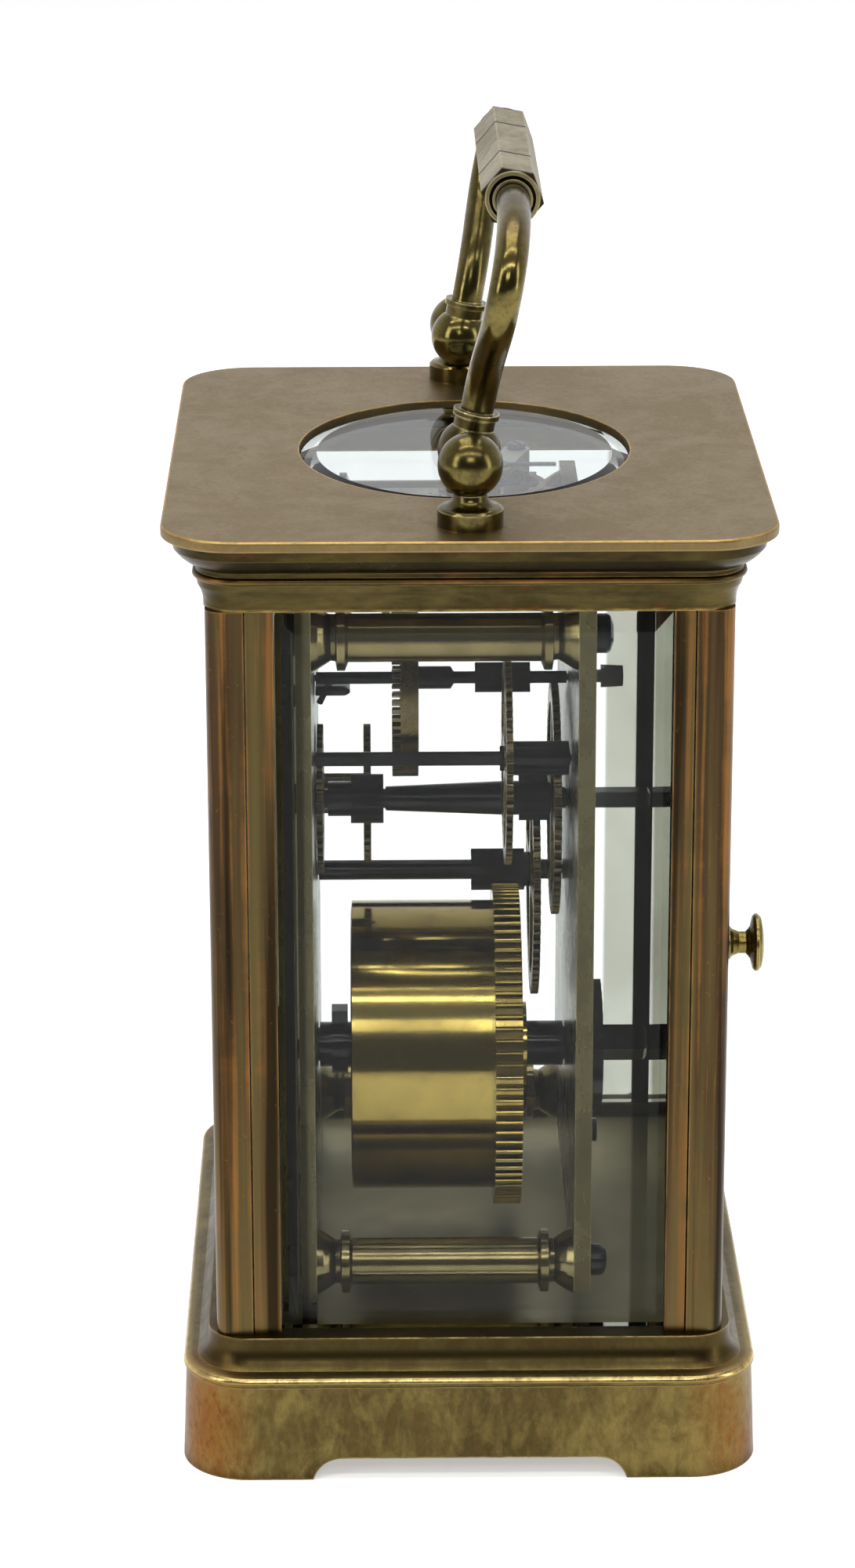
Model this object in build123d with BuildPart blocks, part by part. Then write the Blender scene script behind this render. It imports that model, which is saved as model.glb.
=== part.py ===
from build123d import *
import math
import os

os.makedirs("parts", exist_ok=True)

# Millimetres. Z = 0 is the floor, the dial faces -Y, the door faces +Y, the handle swings about X.

# Case
case_width = 84.0
top_plate_thickness = 1.3
plate_corner = 8.7
base_height = 17.0
base_floor_drop = 1.7
base_corner = 8.0
foot_height = 2.7
foot_length = 16.3
arch_slope = 3.7
post_inset = 4.9
post_size = 4.4
post_rounding = 1.9
cornice_height = 8.2
seat_gap = 0.15
room_over_plates = 11.2

# Glass
glass_thickness = 1.3
groove_depth = 0.85
groove_clearance = 0.1
front_groove_cheek = 1.2
hand_clearance = 0.8
bevel_width = 2.1
bevel_height = 0.85
strip_front_width = 3.2
strip_back_width = 2.4
strip_thickness = 1.1
oval_long = 23.5
oval_short = 19.8

# Door
door_bar = 3.2
door_thickness = 2.3
door_clearance = 0.3
door_groove = 0.6
knob_drop = 7.8
hinge_pin_radius = 0.5
running_clearance = 0.05

# Handle
handle_pivot_height = 7.0
handle_post_inset = 6.8
handle_knuckle_inset = 13.6
handle_ball_radius = 3.7
handle_lean = 10.6
handle_rise = 27.6
handle_bulge_inset = 4.0
handle_bulge_rise = 20.5
handle_arm_radius = 1.9
grip_half_length = 19.5
grip_corner_radius = 3.65
grip_groove_x = 9.2
grip_collar = 1.1
grip_rim = 0.6
grip_rim_radius = 3.15

# Movement frame
plate_inset = 11.0
front_plate_y = -20.0
front_plate_thickness = 1.8
back_plate_y = 12.6
back_plate_thickness = 2.0
plates_over_centre = 33.0
back_plate_lift = 4.5
pillar_inset = 4.0
pillar_low_rise = 2.3
pillar_high_drop = 4.3
pillar_radius = 2.8
plate_screw_x = 18.0
barrel_floor_gap = 3.3665
mask_gap = 1.2
mask_thickness = 1.0
dial_thickness = 1.2
hand_stack = 3.3

# Gear train: tooth counts and the distances between arbors
great_teeth = 84
intermediate_leaves = 10
intermediate_teeth = 72
centre_leaves = 12
centre_teeth = 64
third_leaves = 8
third_teeth = 60
contrate_leaves = 8
contrate_teeth = 70
escape_leaves = 7
cannon_leaves = 12
minute_teeth = 36
minute_leaves = 10
hour_teeth = 40
great_distance = 21.95
intermediate_distance = 17.9
centre_distance = 15.65
third_distance = 14.07
motion_distance = 11.0
barrel_angle = -63.3
intermediate_angle = 228.9


def module_of(distance, wheel_teeth, leaves):
    return 2 * distance / (wheel_teeth + leaves)


# The barrel stands over the base floor, and the train over it sets the height of the case
base_floor = base_height - base_floor_drop
great_module = module_of(great_distance, great_teeth, intermediate_leaves)
great_tip_radius = (great_teeth / 2 + 0.9) * great_module
barrel_height = base_floor + barrel_floor_gap + great_tip_radius
intermediate_height = barrel_height - great_distance * math.sin(math.radians(barrel_angle))
centre_height = intermediate_height - intermediate_distance * math.sin(math.radians(intermediate_angle))
plates_top = centre_height + plates_over_centre
case_height = plates_top + room_over_plates

# The dial and its hands stand before the front plate and set the depth of the case
groove_width = glass_thickness + 2 * groove_clearance
mask_y = front_plate_y - mask_gap - mask_thickness
dial_y = mask_y - dial_thickness
hand_end = dial_y - hand_stack
front_glass_y = hand_end - hand_clearance
half_y = post_inset + front_groove_cheek + groove_width - groove_clearance - front_glass_y
case_depth = 2 * half_y

# Derived case places
half_x = case_width / 2
post_x = half_x - post_inset
post_y = half_y - post_inset
post_inner_x = post_x - post_size
post_inner_y = post_y - post_size
plate_under = case_height - top_plate_thickness
cornice_bottom = plate_under - cornice_height
side_groove_x = post_x - strip_thickness - seat_gap - 0.1 - groove_width
front_groove_y = post_y - front_groove_cheek - groove_width
hinge_at = (-post_inner_x + 1.1, post_y - 1.0)
glass_low = base_height + seat_gap
glass_high = cornice_bottom - seat_gap
handle_post_x = half_x - handle_post_inset
handle_knuckle_x = half_x - handle_knuckle_inset
handle_bulge = half_x - handle_bulge_inset

# Derived movement places
front_inner_y = front_plate_y + front_plate_thickness
back_outer_y = back_plate_y + back_plate_thickness
plate_half_width = half_x - plate_inset
back_plate_bottom = base_floor + back_plate_lift
pillar_x = plate_half_width - pillar_inset
pillar_low_z = back_plate_bottom + pillar_low_rise
pillar_high_z = plates_top - pillar_high_drop


def place_from(origin, distance, degrees):
    """A point at a distance and an angle above +X, seen in the XZ plane."""
    x = origin[0] + distance * math.cos(math.radians(degrees))
    z = origin[1] + distance * math.sin(math.radians(degrees))
    return (x, z)


centre_at = (0.0, centre_height)
intermediate_at = place_from(centre_at, intermediate_distance, intermediate_angle)
barrel_at = place_from(intermediate_at, great_distance, barrel_angle)
third_at = place_from(centre_at, centre_distance, 36.3)
contrate_at = (0.0, third_at[1] + math.sqrt(third_distance**2 - third_at[0] ** 2))
minute_at = place_from(centre_at, motion_distance, 195.2)


def save(piece, name):
    piece.part.label = name
    export_step(piece.part, f"parts/{name}.step")


def across(centre, y):
    """The plane square to Y at a centre (x, z), facing +Y. Its own y axis points down."""
    return Plane(origin=(centre[0], y, centre[1]), x_dir=(1, 0, 0), z_dir=(0, 1, 0))


def along_x(x, y, z, side):
    """The plane square to X at a point, facing +X or -X. Its x axis is +Y."""
    return Plane(origin=(x, y, z), x_dir=(0, 1, 0), z_dir=(side, 0, 0))


def bearing(start, end):
    """The direction from one centre to another, in degrees on an across plane."""
    return math.degrees(math.atan2(start[1] - end[1], end[0] - start[0]))


def turned(centre, profile):
    """Revolves a profile of (radius, y) points about the line along Y through a centre."""
    with BuildSketch(Plane(origin=(centre[0], 0, centre[1]), x_dir=(1, 0, 0), z_dir=(0, 0, 1))) as section:
        with BuildLine():
            Polyline(*profile, close=True)
        make_face()
    revolve(section.sketch, axis=Axis((centre[0], 0, centre[1]), (0, 1, 0)))


def turned_upright(centre, profile):
    """Revolves a profile of (radius, z) points about the vertical line at a centre (x, y)."""
    with BuildSketch(Plane(origin=(centre[0], centre[1], 0), x_dir=(1, 0, 0), z_dir=(0, -1, 0))) as section:
        with BuildLine():
            Polyline(*profile, close=True)
        make_face()
    revolve(section.sketch, axis=Axis((centre[0], centre[1], 0), (0, 0, 1)))


def rod(centre, radius, y_from, y_to, mode=Mode.ADD):
    """A round rod or hole along Y."""
    with BuildSketch(across(centre, y_from)) as section:
        Circle(radius)
    extrude(section.sketch, amount=y_to - y_from, mode=mode)


def upright_rod(centre, radius, z_from, z_to, mode=Mode.ADD):
    """A round rod or hole along Z."""
    with BuildSketch(Plane.XY.offset(z_from)) as section:
        with Locations(centre):
            Circle(radius)
    extrude(section.sketch, amount=z_to - z_from, mode=mode)


def polar(radius, degrees):
    angle = math.radians(degrees)
    return (radius * math.cos(angle), radius * math.sin(angle))


def repeated_face(tooth, count):
    """The face inside one tooth's open line, repeated all round the centre."""
    teeth = [tooth.rotate(Axis.Z, index * 360 / count).edges() for index in range(count)]
    make_face([edge for edges in teeth for edge in edges])


def wheel_outline(teeth, module, phase):
    """A wheel's edge: radial flanks up to the pitch circle and an ogive tip above it."""
    pitch = teeth * module / 2
    root = pitch - 1.25 * module
    tip = pitch + 0.9 * module
    shoulder = pitch + 0.55 * module
    half = 0.21 * 360 / teeth
    with BuildLine() as tooth:
        before = Line(polar(root, phase - half), polar(pitch, phase - half))
        rising = ThreePointArc(before @ 1, polar(shoulder, phase - 0.66 * half), polar(tip, phase))
        falling = ThreePointArc(rising @ 1, polar(shoulder, phase + 0.66 * half), polar(pitch, phase + half))
        after = Line(falling @ 1, polar(root, phase + half))
        Line(after @ 1, polar(root, phase + 360 / teeth - half))
    repeated_face(tooth.line, teeth)


def leaf_outline(leaves, module, phase):
    """A pinion's edge: slim leaves with round tips."""
    pitch = leaves * module / 2
    root = pitch - 1.3 * module
    half = 0.15 * 360 / leaves
    with BuildLine() as leaf:
        before = Line(polar(root, phase - half), polar(pitch, phase - half))
        nose = ThreePointArc(before @ 1, polar(pitch + 0.7 * module, phase), polar(pitch, phase + half))
        after = Line(nose @ 1, polar(root, phase + half))
        Line(after @ 1, polar(root, phase + 360 / leaves - half))
    repeated_face(leaf.line, leaves)


def pinion(centre, y_from, y_to, leaves, module, phase):
    with BuildSketch(across(centre, y_from)) as outline:
        leaf_outline(leaves, module, phase)
    extrude(outline.sketch, amount=y_to - y_from)


def wheel(centre, y, thickness, teeth, module, phase, bore, hub, rim, spokes):
    """A crossed-out toothed wheel standing square to Y."""
    inner = teeth * module / 2 - 1.25 * module - rim
    with BuildSketch(across(centre, y)) as outline:
        wheel_outline(teeth, module, phase)
        Circle(inner, mode=Mode.SUBTRACT)
        Circle(hub)
        with PolarLocations(0, spokes):
            Rectangle(inner + rim / 2, rim * 0.8, align=(Align.MIN, Align.CENTER))
        Circle(bore, mode=Mode.SUBTRACT)
    extrude(outline.sketch, amount=thickness)


intermediate_module = module_of(intermediate_distance, intermediate_teeth, centre_leaves)
centre_module = module_of(centre_distance, centre_teeth, third_leaves)
third_module = module_of(third_distance, third_teeth, contrate_leaves)
cannon_module = module_of(motion_distance, minute_teeth, cannon_leaves)
hour_module = module_of(motion_distance, hour_teeth, minute_leaves)


def edge_path(inset, radius):
    """The rounded outline of the case in plan, at an inset from its largest size."""
    x = half_x - inset
    y = half_y - inset
    with BuildLine(Plane.XY) as path:
        side = Line((x, 0), (x, y - radius))
        for end in ((radius - x, y), (-x, radius - y), (x - radius, -y), (x, 0)):
            corner = JernArc(side @ 1, side % 1, radius, 90)
            side = Line(corner @ 1, end)
    return path.wire()


def section_plane():
    """The XZ plane where edge_path starts, with its x axis outward."""
    return Plane(origin=(0, 0, 0), x_dir=(1, 0, 0), z_dir=(0, -1, 0))


def inset_point(inset, z):
    return (half_x - inset, z)


# Base: a hollow cast plinth on bracket feet
foot_inset = 0.6
ledge_inset = 3.8
ledge_inner_inset = 7.6
wall_inset = 4.0
under_floor = base_floor - 2.5
with BuildPart() as base_plinth:
    path = edge_path(foot_inset, base_corner)
    with BuildSketch(section_plane()) as section:
        with BuildLine():
            top = base_height
            apron = Line(inset_point(foot_inset, 0), inset_point(1.1, top - 5.2))
            bead = ThreePointArc(apron @ 1, inset_point(0.8, top - 4.6), inset_point(1.2, top - 4.0))
            shelf = Line(bead @ 1, inset_point(2.5, top - 3.7))
            ledge_start = inset_point(ledge_inset, top - 0.6)
            cove = ThreePointArc(shelf @ 1, inset_point(3.35, top - 2.6), ledge_start)
            Polyline(
                cove @ 1,
                inset_point(ledge_inset, base_height),
                inset_point(ledge_inner_inset, base_height),
                inset_point(ledge_inner_inset, under_floor),
                inset_point(wall_inset, under_floor),
                inset_point(wall_inset, 0),
                apron @ 0,
            )
        make_face()
    sweep(sections=section.sketch, path=path)
    with BuildSketch(Plane.XY.offset(under_floor)):
        RectangleRounded(2 * (half_x - ledge_inner_inset) + 0.6, 2 * (half_y - ledge_inner_inset) + 0.6, 0.6)
    extrude(amount=base_floor - under_floor)
    for plane, half_length in ((Plane.XZ, half_x), (Plane.YZ, half_y)):
        toe = half_length - foot_length
        flat = toe - arch_slope
        with BuildSketch(plane):
            with BuildLine():
                crown = Line((-flat, foot_height), (flat, foot_height))
                right = Spline(crown @ 1, (toe, 0), tangents=((1, 0), (0.35, -1)))
                floor_line = Polyline(right @ 1, (toe, -1), (-toe, -1), (-toe, 0))
                Spline(floor_line @ 1, crown @ 0, tangents=((0.35, 1), (1, 0)))
            make_face()
        extrude(amount=case_width, both=True, mode=Mode.SUBTRACT)
    for x in (-1, 1):
        for y in (-1, 1):
            upright_rod((x * (post_x - 2.2), y * (post_y - 2.2)), 0.9, 0, base_height + 1, Mode.SUBTRACT)
        screw_at = (x * plate_screw_x, front_plate_y + front_plate_thickness / 2)
        upright_rod(screw_at, 0.9, 0, base_floor + 1, Mode.SUBTRACT)
    upright_rod(hinge_at, hinge_pin_radius, base_height - 2.5, base_height + 1, Mode.SUBTRACT)
save(base_plinth, "base_plinth")


# Corner posts: square pillars with one rounded corner and grooves for the glass
def corner_post(side, end):
    """side is +1 for the clock's right, end is -1 for the dial end."""
    centre = (side * (post_x - post_size / 2), end * (post_y - post_size / 2))
    with BuildPart() as post:
        with BuildSketch(Plane.XY.offset(base_height)):
            with Locations(centre):
                Rectangle(post_size, post_size)
        extrude(amount=cornice_bottom - base_height)
        outer = post.edges().filter_by(Axis.Z).sort_by(
            lambda edge: -abs(edge.center().X) - abs(edge.center().Y)
        )[0]
        fillet(outer, post_rounding)
        with BuildSketch(Plane.XY.offset(base_height)):
            side_groove_y = end * (post_inner_y + groove_depth / 2)
            with Locations((side * (side_groove_x + groove_width / 2), side_groove_y)):
                Rectangle(groove_width, groove_depth)
            if end < 0:
                groove_y = -(front_groove_y + groove_width / 2)
                with Locations((side * (post_inner_x + groove_depth / 2), groove_y)):
                    Rectangle(groove_depth, groove_width)
        extrude(amount=cornice_bottom - base_height, mode=Mode.SUBTRACT)
        upright_rod(centre, 0.8, base_height, base_height + 8, Mode.SUBTRACT)
        upright_rod(centre, 0.9, cornice_bottom, cornice_bottom + 3)
    return post


posts = {
    "front_right_post": corner_post(1, -1),
    "front_left_post": corner_post(-1, -1),
    "back_right_post": corner_post(1, 1),
    "back_left_post": corner_post(-1, 1),
}
for name, post in posts.items():
    save(post, name)


# Cornice: a moulded ring with an inner ledge
ring_inner_inset = 8.3
well_half_x = half_x - 12.5
well_half_y = half_y - 11.5
ledge_thickness = 3.0
with BuildPart() as cornice:
    path = edge_path(0, plate_corner)
    with BuildSketch(section_plane()) as section:
        with BuildLine():
            top = plate_under
            band = Line(inset_point(1.1, top), inset_point(1.4, top - 1.4))
            ovolo = ThreePointArc(band @ 1, inset_point(2.25, top - 2.35), inset_point(3.9, top - 3.4))
            neck = Line(ovolo @ 1, inset_point(3.9, top - 4.0))
            bead = ThreePointArc(neck @ 1, inset_point(3.5, top - 4.4), inset_point(3.9, top - 4.8))
            fascia = Line(bead @ 1, inset_point(4.1, top - 5.7))
            cavetto = ThreePointArc(fascia @ 1, inset_point(4.5, top - 6.5), inset_point(4.7, top - 7.5))
            Polyline(
                cavetto @ 1,
                inset_point(4.7, cornice_bottom),
                inset_point(ring_inner_inset, cornice_bottom),
                inset_point(ring_inner_inset, plate_under),
                band @ 0,
            )
        make_face()
    sweep(sections=section.sketch, path=path)
    with BuildSketch(Plane.XY.offset(cornice_bottom)):
        RectangleRounded(2 * (half_x - ring_inner_inset) + 0.4, 2 * (half_y - ring_inner_inset) + 0.4, 0.5)
        Rectangle(2 * well_half_x, 2 * well_half_y, mode=Mode.SUBTRACT)
    extrude(amount=ledge_thickness)
    for x in (-1, 1):
        for y in (-1, 1):
            centre = (x * (post_x - post_size / 2), y * (post_y - post_size / 2))
            upright_rod(centre, 0.95, cornice_bottom, cornice_bottom + 3.2, Mode.SUBTRACT)
        upright_rod((x * handle_post_x, 0), 1.05, plate_under - 4.2, plate_under, Mode.SUBTRACT)
    upright_rod(hinge_at, hinge_pin_radius, cornice_bottom, cornice_bottom + 2.5, Mode.SUBTRACT)
save(cornice, "cornice")

# Top plate with its oval window and the collar that holds the glass
with BuildPart() as top_plate:
    with BuildSketch(Plane.XY.offset(plate_under)):
        RectangleRounded(case_width, case_depth, plate_corner)
    extrude(amount=top_plate_thickness)
    fillet(top_plate.edges().group_by(Axis.Z)[-1], 0.35)
    fillet(top_plate.edges().group_by(Axis.Z)[0], 0.2)
    with BuildSketch(Plane.XY.offset(plate_under - 1.9)):
        Ellipse(oval_long + 2.6, oval_short + 2.6)
    extrude(amount=1.9)
    with BuildSketch(Plane.XY.offset(plate_under - 1.9)):
        Ellipse(oval_long + 0.6, oval_short + 0.6)
    extrude(amount=1.9, mode=Mode.SUBTRACT)
    with BuildSketch(Plane.XY.offset(plate_under - 1.5)):
        Ellipse(oval_long + 1.5, oval_short + 1.5)
    extrude(amount=1.5, mode=Mode.SUBTRACT)
    with BuildSketch(Plane.XY.offset(plate_under)):
        Ellipse(oval_long, oval_short)
    extrude(amount=top_plate_thickness, mode=Mode.SUBTRACT)
    for x in (-1, 1):
        upright_rod((x * handle_post_x, 0), 1.05, plate_under, case_height, Mode.SUBTRACT)
save(top_plate, "top_plate")

with BuildPart() as top_glass:
    with BuildSketch(Plane.XY.offset(plate_under - 1.4)):
        Ellipse(oval_long + 1.4, oval_short + 1.4)
    extrude(amount=1.3)
    with BuildSketch(Plane.XY.offset(plate_under - 0.1)):
        Ellipse(oval_long - 0.15, oval_short - 0.15)
    extrude(amount=0.4)
    with BuildSketch(Plane.XY.offset(plate_under + 0.3)):
        Ellipse(oval_long - 0.15, oval_short - 0.15)
    with BuildSketch(Plane.XY.offset(plate_under + 0.9)):
        Ellipse(oval_long - 2.1, oval_short - 2.1)
    loft()
save(top_glass, "top_glass")


# Flat glasses: a slab in the grooves with a raised, bevelled middle
def bevelled_glass(plane, edges, raised):
    """edges and raised are (low u, high u, low v, high v) on a plane that faces outward."""
    with BuildPart() as glass:
        with BuildSketch(plane):
            with Locations(((edges[0] + edges[1]) / 2, (edges[2] + edges[3]) / 2)):
                Rectangle(edges[1] - edges[0], edges[3] - edges[2])
        extrude(amount=glass_thickness)
        with BuildSketch(plane.offset(glass_thickness)):
            with Locations(((raised[0] + raised[1]) / 2, (raised[2] + raised[3]) / 2)):
                Rectangle(raised[1] - raised[0], raised[3] - raised[2])
        slope = math.degrees(math.atan2(bevel_width, bevel_height))
        extrude(amount=bevel_height, taper=slope)
    return glass


strip_front_edge = -(post_inner_y - seat_gap - strip_front_width)
strip_back_edge = post_inner_y - seat_gap - strip_back_width
slab_y = post_inner_y + groove_depth - seat_gap
raised_low = glass_low + 0.5
raised_high = glass_high - 0.5
side_x = side_groove_x + groove_clearance
right_plane = Plane(origin=(side_x, 0, 0), x_dir=(0, 1, 0), z_dir=(1, 0, 0))
right_side_glass = bevelled_glass(
    right_plane,
    (-slab_y, slab_y, glass_low, glass_high),
    (strip_front_edge + seat_gap, strip_back_edge - seat_gap, raised_low, raised_high),
)
save(right_side_glass, "right_side_glass")
left_plane = Plane(origin=(-side_x, 0, 0), x_dir=(0, -1, 0), z_dir=(-1, 0, 0))
left_side_glass = bevelled_glass(
    left_plane,
    (-slab_y, slab_y, glass_low, glass_high),
    (seat_gap - strip_back_edge, -strip_front_edge - seat_gap, raised_low, raised_high),
)
save(left_side_glass, "left_side_glass")
slab_x = post_inner_x + groove_depth - seat_gap
front_plane = Plane(origin=(0, -(front_groove_y + groove_clearance), 0), x_dir=(1, 0, 0), z_dir=(0, -1, 0))
front_glass = bevelled_glass(
    front_plane,
    (-slab_x, slab_x, glass_low, glass_high),
    (seat_gap - post_inner_x, post_inner_x - seat_gap, raised_low, raised_high),
)
save(front_glass, "front_glass")

with BuildPart() as glass_strips:
    strip_outer_x = post_x - 0.2
    for side in (-1, 1):
        for low, high in (
            (-(post_inner_y - seat_gap), strip_front_edge),
            (strip_back_edge, post_inner_y - seat_gap),
        ):
            with BuildSketch(Plane.XY.offset(base_height)):
                with Locations((side * (strip_outer_x - strip_thickness / 2), (low + high) / 2)):
                    Rectangle(strip_thickness, high - low)
            extrude(amount=cornice_bottom - base_height)
save(glass_strips, "glass_strips")

with BuildPart() as base_screws:
    screw_places = [
        (x * (post_x - post_size / 2), y * (post_y - post_size / 2), base_height + 7)
        for x in (-1, 1)
        for y in (-1, 1)
    ]
    plate_screw_y = front_plate_y + front_plate_thickness / 2
    screw_places += [(x * plate_screw_x, plate_screw_y, base_floor + 3.5) for x in (-1, 1)]
    for x, y, top in screw_places:
        head = under_floor - seat_gap
        upright_rod((x, y), 1.7, head - 1.2, head)
        radius = 0.75 if top > base_height + 5 else 0.55
        upright_rod((x, y), radius, head, top)
        with BuildSketch(Plane.XY.offset(head - 1.2)):
            with Locations((x, y)):
                Rectangle(3.6, 0.5)
        extrude(amount=0.5, mode=Mode.SUBTRACT)
save(base_screws, "base_screws")

# Door: a frame grooved for its glass, hung on two pins at the clock's left
door_outer_y = post_y - 0.2
door_inner_y = door_outer_y - door_thickness
door_half = post_inner_x - door_clearance
door_low = base_height + door_clearance
door_high = cornice_bottom - door_clearance
door_middle = (door_low + door_high) / 2
door_plane = Plane(origin=(0, door_inner_y, door_middle), x_dir=(1, 0, 0), z_dir=(0, 1, 0))
knob_at = (door_half - door_bar / 2 - 0.3, centre_height - knob_drop)
knob_spigot_radius = 0.65
with BuildPart() as door_frame:
    with BuildSketch(door_plane):
        Rectangle(2 * door_half, door_high - door_low)
        Rectangle(2 * (door_half - door_bar), door_high - door_low - 2 * door_bar, mode=Mode.SUBTRACT)
    extrude(amount=door_thickness)
    swinging_edge = door_frame.edges().filter_by(Axis.Z).sort_by(
        lambda edge: edge.center().X - edge.center().Y
    )[0]
    fillet(swinging_edge, 0.78)
    with BuildSketch(door_plane.offset(0.4)):
        Rectangle(
            2 * (door_half - door_bar + door_groove), door_high - door_low - 2 * (door_bar - door_groove)
        )
    extrude(amount=1.4, mode=Mode.SUBTRACT)
    for low, high in ((door_low, door_low + 2.2), (door_high - 2.2, door_high)):
        upright_rod(hinge_at, hinge_pin_radius + running_clearance, low, high, Mode.SUBTRACT)
    rod(knob_at, knob_spigot_radius + running_clearance, door_inner_y, door_outer_y, Mode.SUBTRACT)
save(door_frame, "door_frame")

glass_half_x = door_half - door_bar + door_groove - groove_clearance
glass_half_z = (door_high - door_low) / 2 - door_bar + door_groove - groove_clearance
with BuildPart() as door_glass:
    with BuildSketch(door_plane.offset(0.5)):
        Rectangle(2 * glass_half_x, 2 * glass_half_z)
    extrude(amount=1.2)
    with BuildSketch(door_plane.offset(1.7)):
        Rectangle(2 * glass_half_x - 1.8, 2 * glass_half_z - 1.8)
    extrude(amount=0.5, taper=math.degrees(math.atan2(bevel_width, 0.5)))
save(door_glass, "door_glass")

with BuildPart() as door_knob:
    turned(
        knob_at,
        [
            (0, door_inner_y + 0.2), (knob_spigot_radius, door_inner_y + 0.2),
            (knob_spigot_radius, door_outer_y + 0.05),
            (2.0, door_outer_y + 0.05), (2.0, door_outer_y + 0.6), (1.6, door_outer_y + 1.0),
            (1.3, door_outer_y + 1.7), (1.3, door_outer_y + 2.5), (1.9, door_outer_y + 3.0),
            (3.1, door_outer_y + 3.3), (3.4, door_outer_y + 3.6), (3.4, door_outer_y + 3.9),
            (3.0, door_outer_y + 4.3), (1.6, door_outer_y + 4.6), (0, door_outer_y + 4.7),
        ],
    )
save(door_knob, "door_knob")

with BuildPart() as door_hinge_pins:
    upright_rod(hinge_at, hinge_pin_radius, base_height - 2.5, door_low + 2.0)
    upright_rod(hinge_at, hinge_pin_radius, door_high - 2.0, cornice_bottom + 2.5)
save(door_hinge_pins, "door_hinge_pins")

# Handle
pivot_z = case_height + handle_pivot_height
ball_split = (handle_post_x + handle_knuckle_x) / 2


def half_ball(x, radius, split, kept):
    """A ball on the pivot line, cut square to X; kept is the side of the cut that stays."""
    with Locations((x, 0, pivot_z)):
        Sphere(radius)
    cut_side = Align.MAX if kept > 0 else Align.MIN
    with Locations((split, 0, pivot_z)):
        Box(2 * radius, 9, 2 * radius, align=(cut_side, Align.CENTER, Align.CENTER), mode=Mode.SUBTRACT)


def handle_post(side):
    x = side * handle_post_x
    with BuildPart() as post:
        with BuildSketch(Plane(origin=(x, 0, case_height), x_dir=(1, 0, 0), z_dir=(0, -1, 0))):
            with BuildLine():
                spigot_end = -top_plate_thickness - 4.0
                foot = Polyline(
                    (0, spigot_end), (1.0, spigot_end), (1.0, 0), (3.75, 0),
                    (3.75, 2.0), (3.5, 2.25), (3.3, 2.35),
                )
                neck = ThreePointArc(foot @ 1, (2.3, 2.85), (1.9, 3.7))
                Polyline(neck @ 1, (1.9, 4.2), (0, 4.2), foot @ 0)
            make_face()
        revolve(axis=Axis((x, 0, 0), (0, 0, 1)))
        half_ball(x, handle_ball_radius, side * (ball_split + 0.15), side)
        with BuildSketch(along_x(side * ball_split, 0, pivot_z, side)):
            Circle(1.0)
        extrude(amount=3.5, mode=Mode.SUBTRACT)
    return post


right_handle_post = handle_post(1)
save(right_handle_post, "right_handle_post")
left_handle_post = handle_post(-1)
save(left_handle_post, "left_handle_post")

lean = math.radians(handle_lean)
handle_plane = Plane(
    origin=(0, 0, pivot_z),
    x_dir=(1, 0, 0),
    z_dir=(0, -math.cos(lean), math.sin(lean)),
)
grip_end_x = grip_half_length + grip_collar


def lean_point(x, rise):
    return handle_plane.from_local_coords((x, rise, 0))


def handle_arm(side):
    with BuildPart() as arm:
        half_ball(side * handle_knuckle_x, handle_ball_radius - 0.1, side * (ball_split - 0.15), -side)
        with BuildSketch(along_x(side * ball_split, 0, pivot_z, -side)):
            Circle(1.0 + running_clearance)
        extrude(amount=4.0, mode=Mode.SUBTRACT)
        root = lean_point(side * handle_knuckle_x, 2.4)
        up = handle_plane.y_dir
        with BuildSketch(Plane(origin=root, x_dir=(1, 0, 0), z_dir=up)):
            Circle(2.35)
        extrude(amount=1.7)
        with BuildSketch(Plane(origin=lean_point(side * handle_knuckle_x, 4.0), x_dir=(1, 0, 0), z_dir=up)):
            Circle(2.65)
        extrude(amount=0.7)
        with BuildLine(handle_plane) as route:
            Bezier(
                (side * handle_knuckle_x, 3.5),
                (side * handle_knuckle_x, 13.5),
                (side * handle_bulge, handle_bulge_rise - 7.0),
                (side * handle_bulge, handle_bulge_rise),
            )
            shoulder = Bezier(
                (side * handle_bulge, handle_bulge_rise),
                (side * handle_bulge, handle_rise - 2.4),
                (side * (handle_bulge - 7.0), handle_rise),
                (side * (grip_end_x + 1.0), handle_rise),
            )
            Line(shoulder @ 1, (side * (grip_end_x - 0.6), handle_rise))
        start = route.line @ 0
        with BuildSketch(Plane(origin=start, x_dir=(1, 0, 0), z_dir=up)):
            Circle(handle_arm_radius)
        sweep(path=route.line)
        arm_end = route.line @ 1
        with BuildSketch(along_x(arm_end.X, arm_end.Y, arm_end.Z, -side)):
            Circle(1.3)
        extrude(amount=3.5)
    return arm


right_handle_arm = handle_arm(1)
save(right_handle_arm, "right_handle_arm")
left_handle_arm = handle_arm(-1)
save(left_handle_arm, "left_handle_arm")


def grip_plane(x):
    return Plane(origin=lean_point(x, handle_rise), x_dir=handle_plane.y_dir, z_dir=(1, 0, 0))


def grip_round(x_from, x_to, radius, mode=Mode.ADD):
    """A round step or hole along the grip."""
    with BuildSketch(grip_plane(x_from)) as section:
        Circle(radius)
    extrude(section.sketch, amount=x_to - x_from, mode=mode)


def grip_facets(x_from, x_to, corner_radius):
    """A six-sided length of the grip."""
    with BuildSketch(grip_plane(x_from)) as section:
        RegularPolygon(corner_radius, 6, rotation=30)
    extrude(section.sketch, amount=x_to - x_from)


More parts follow.
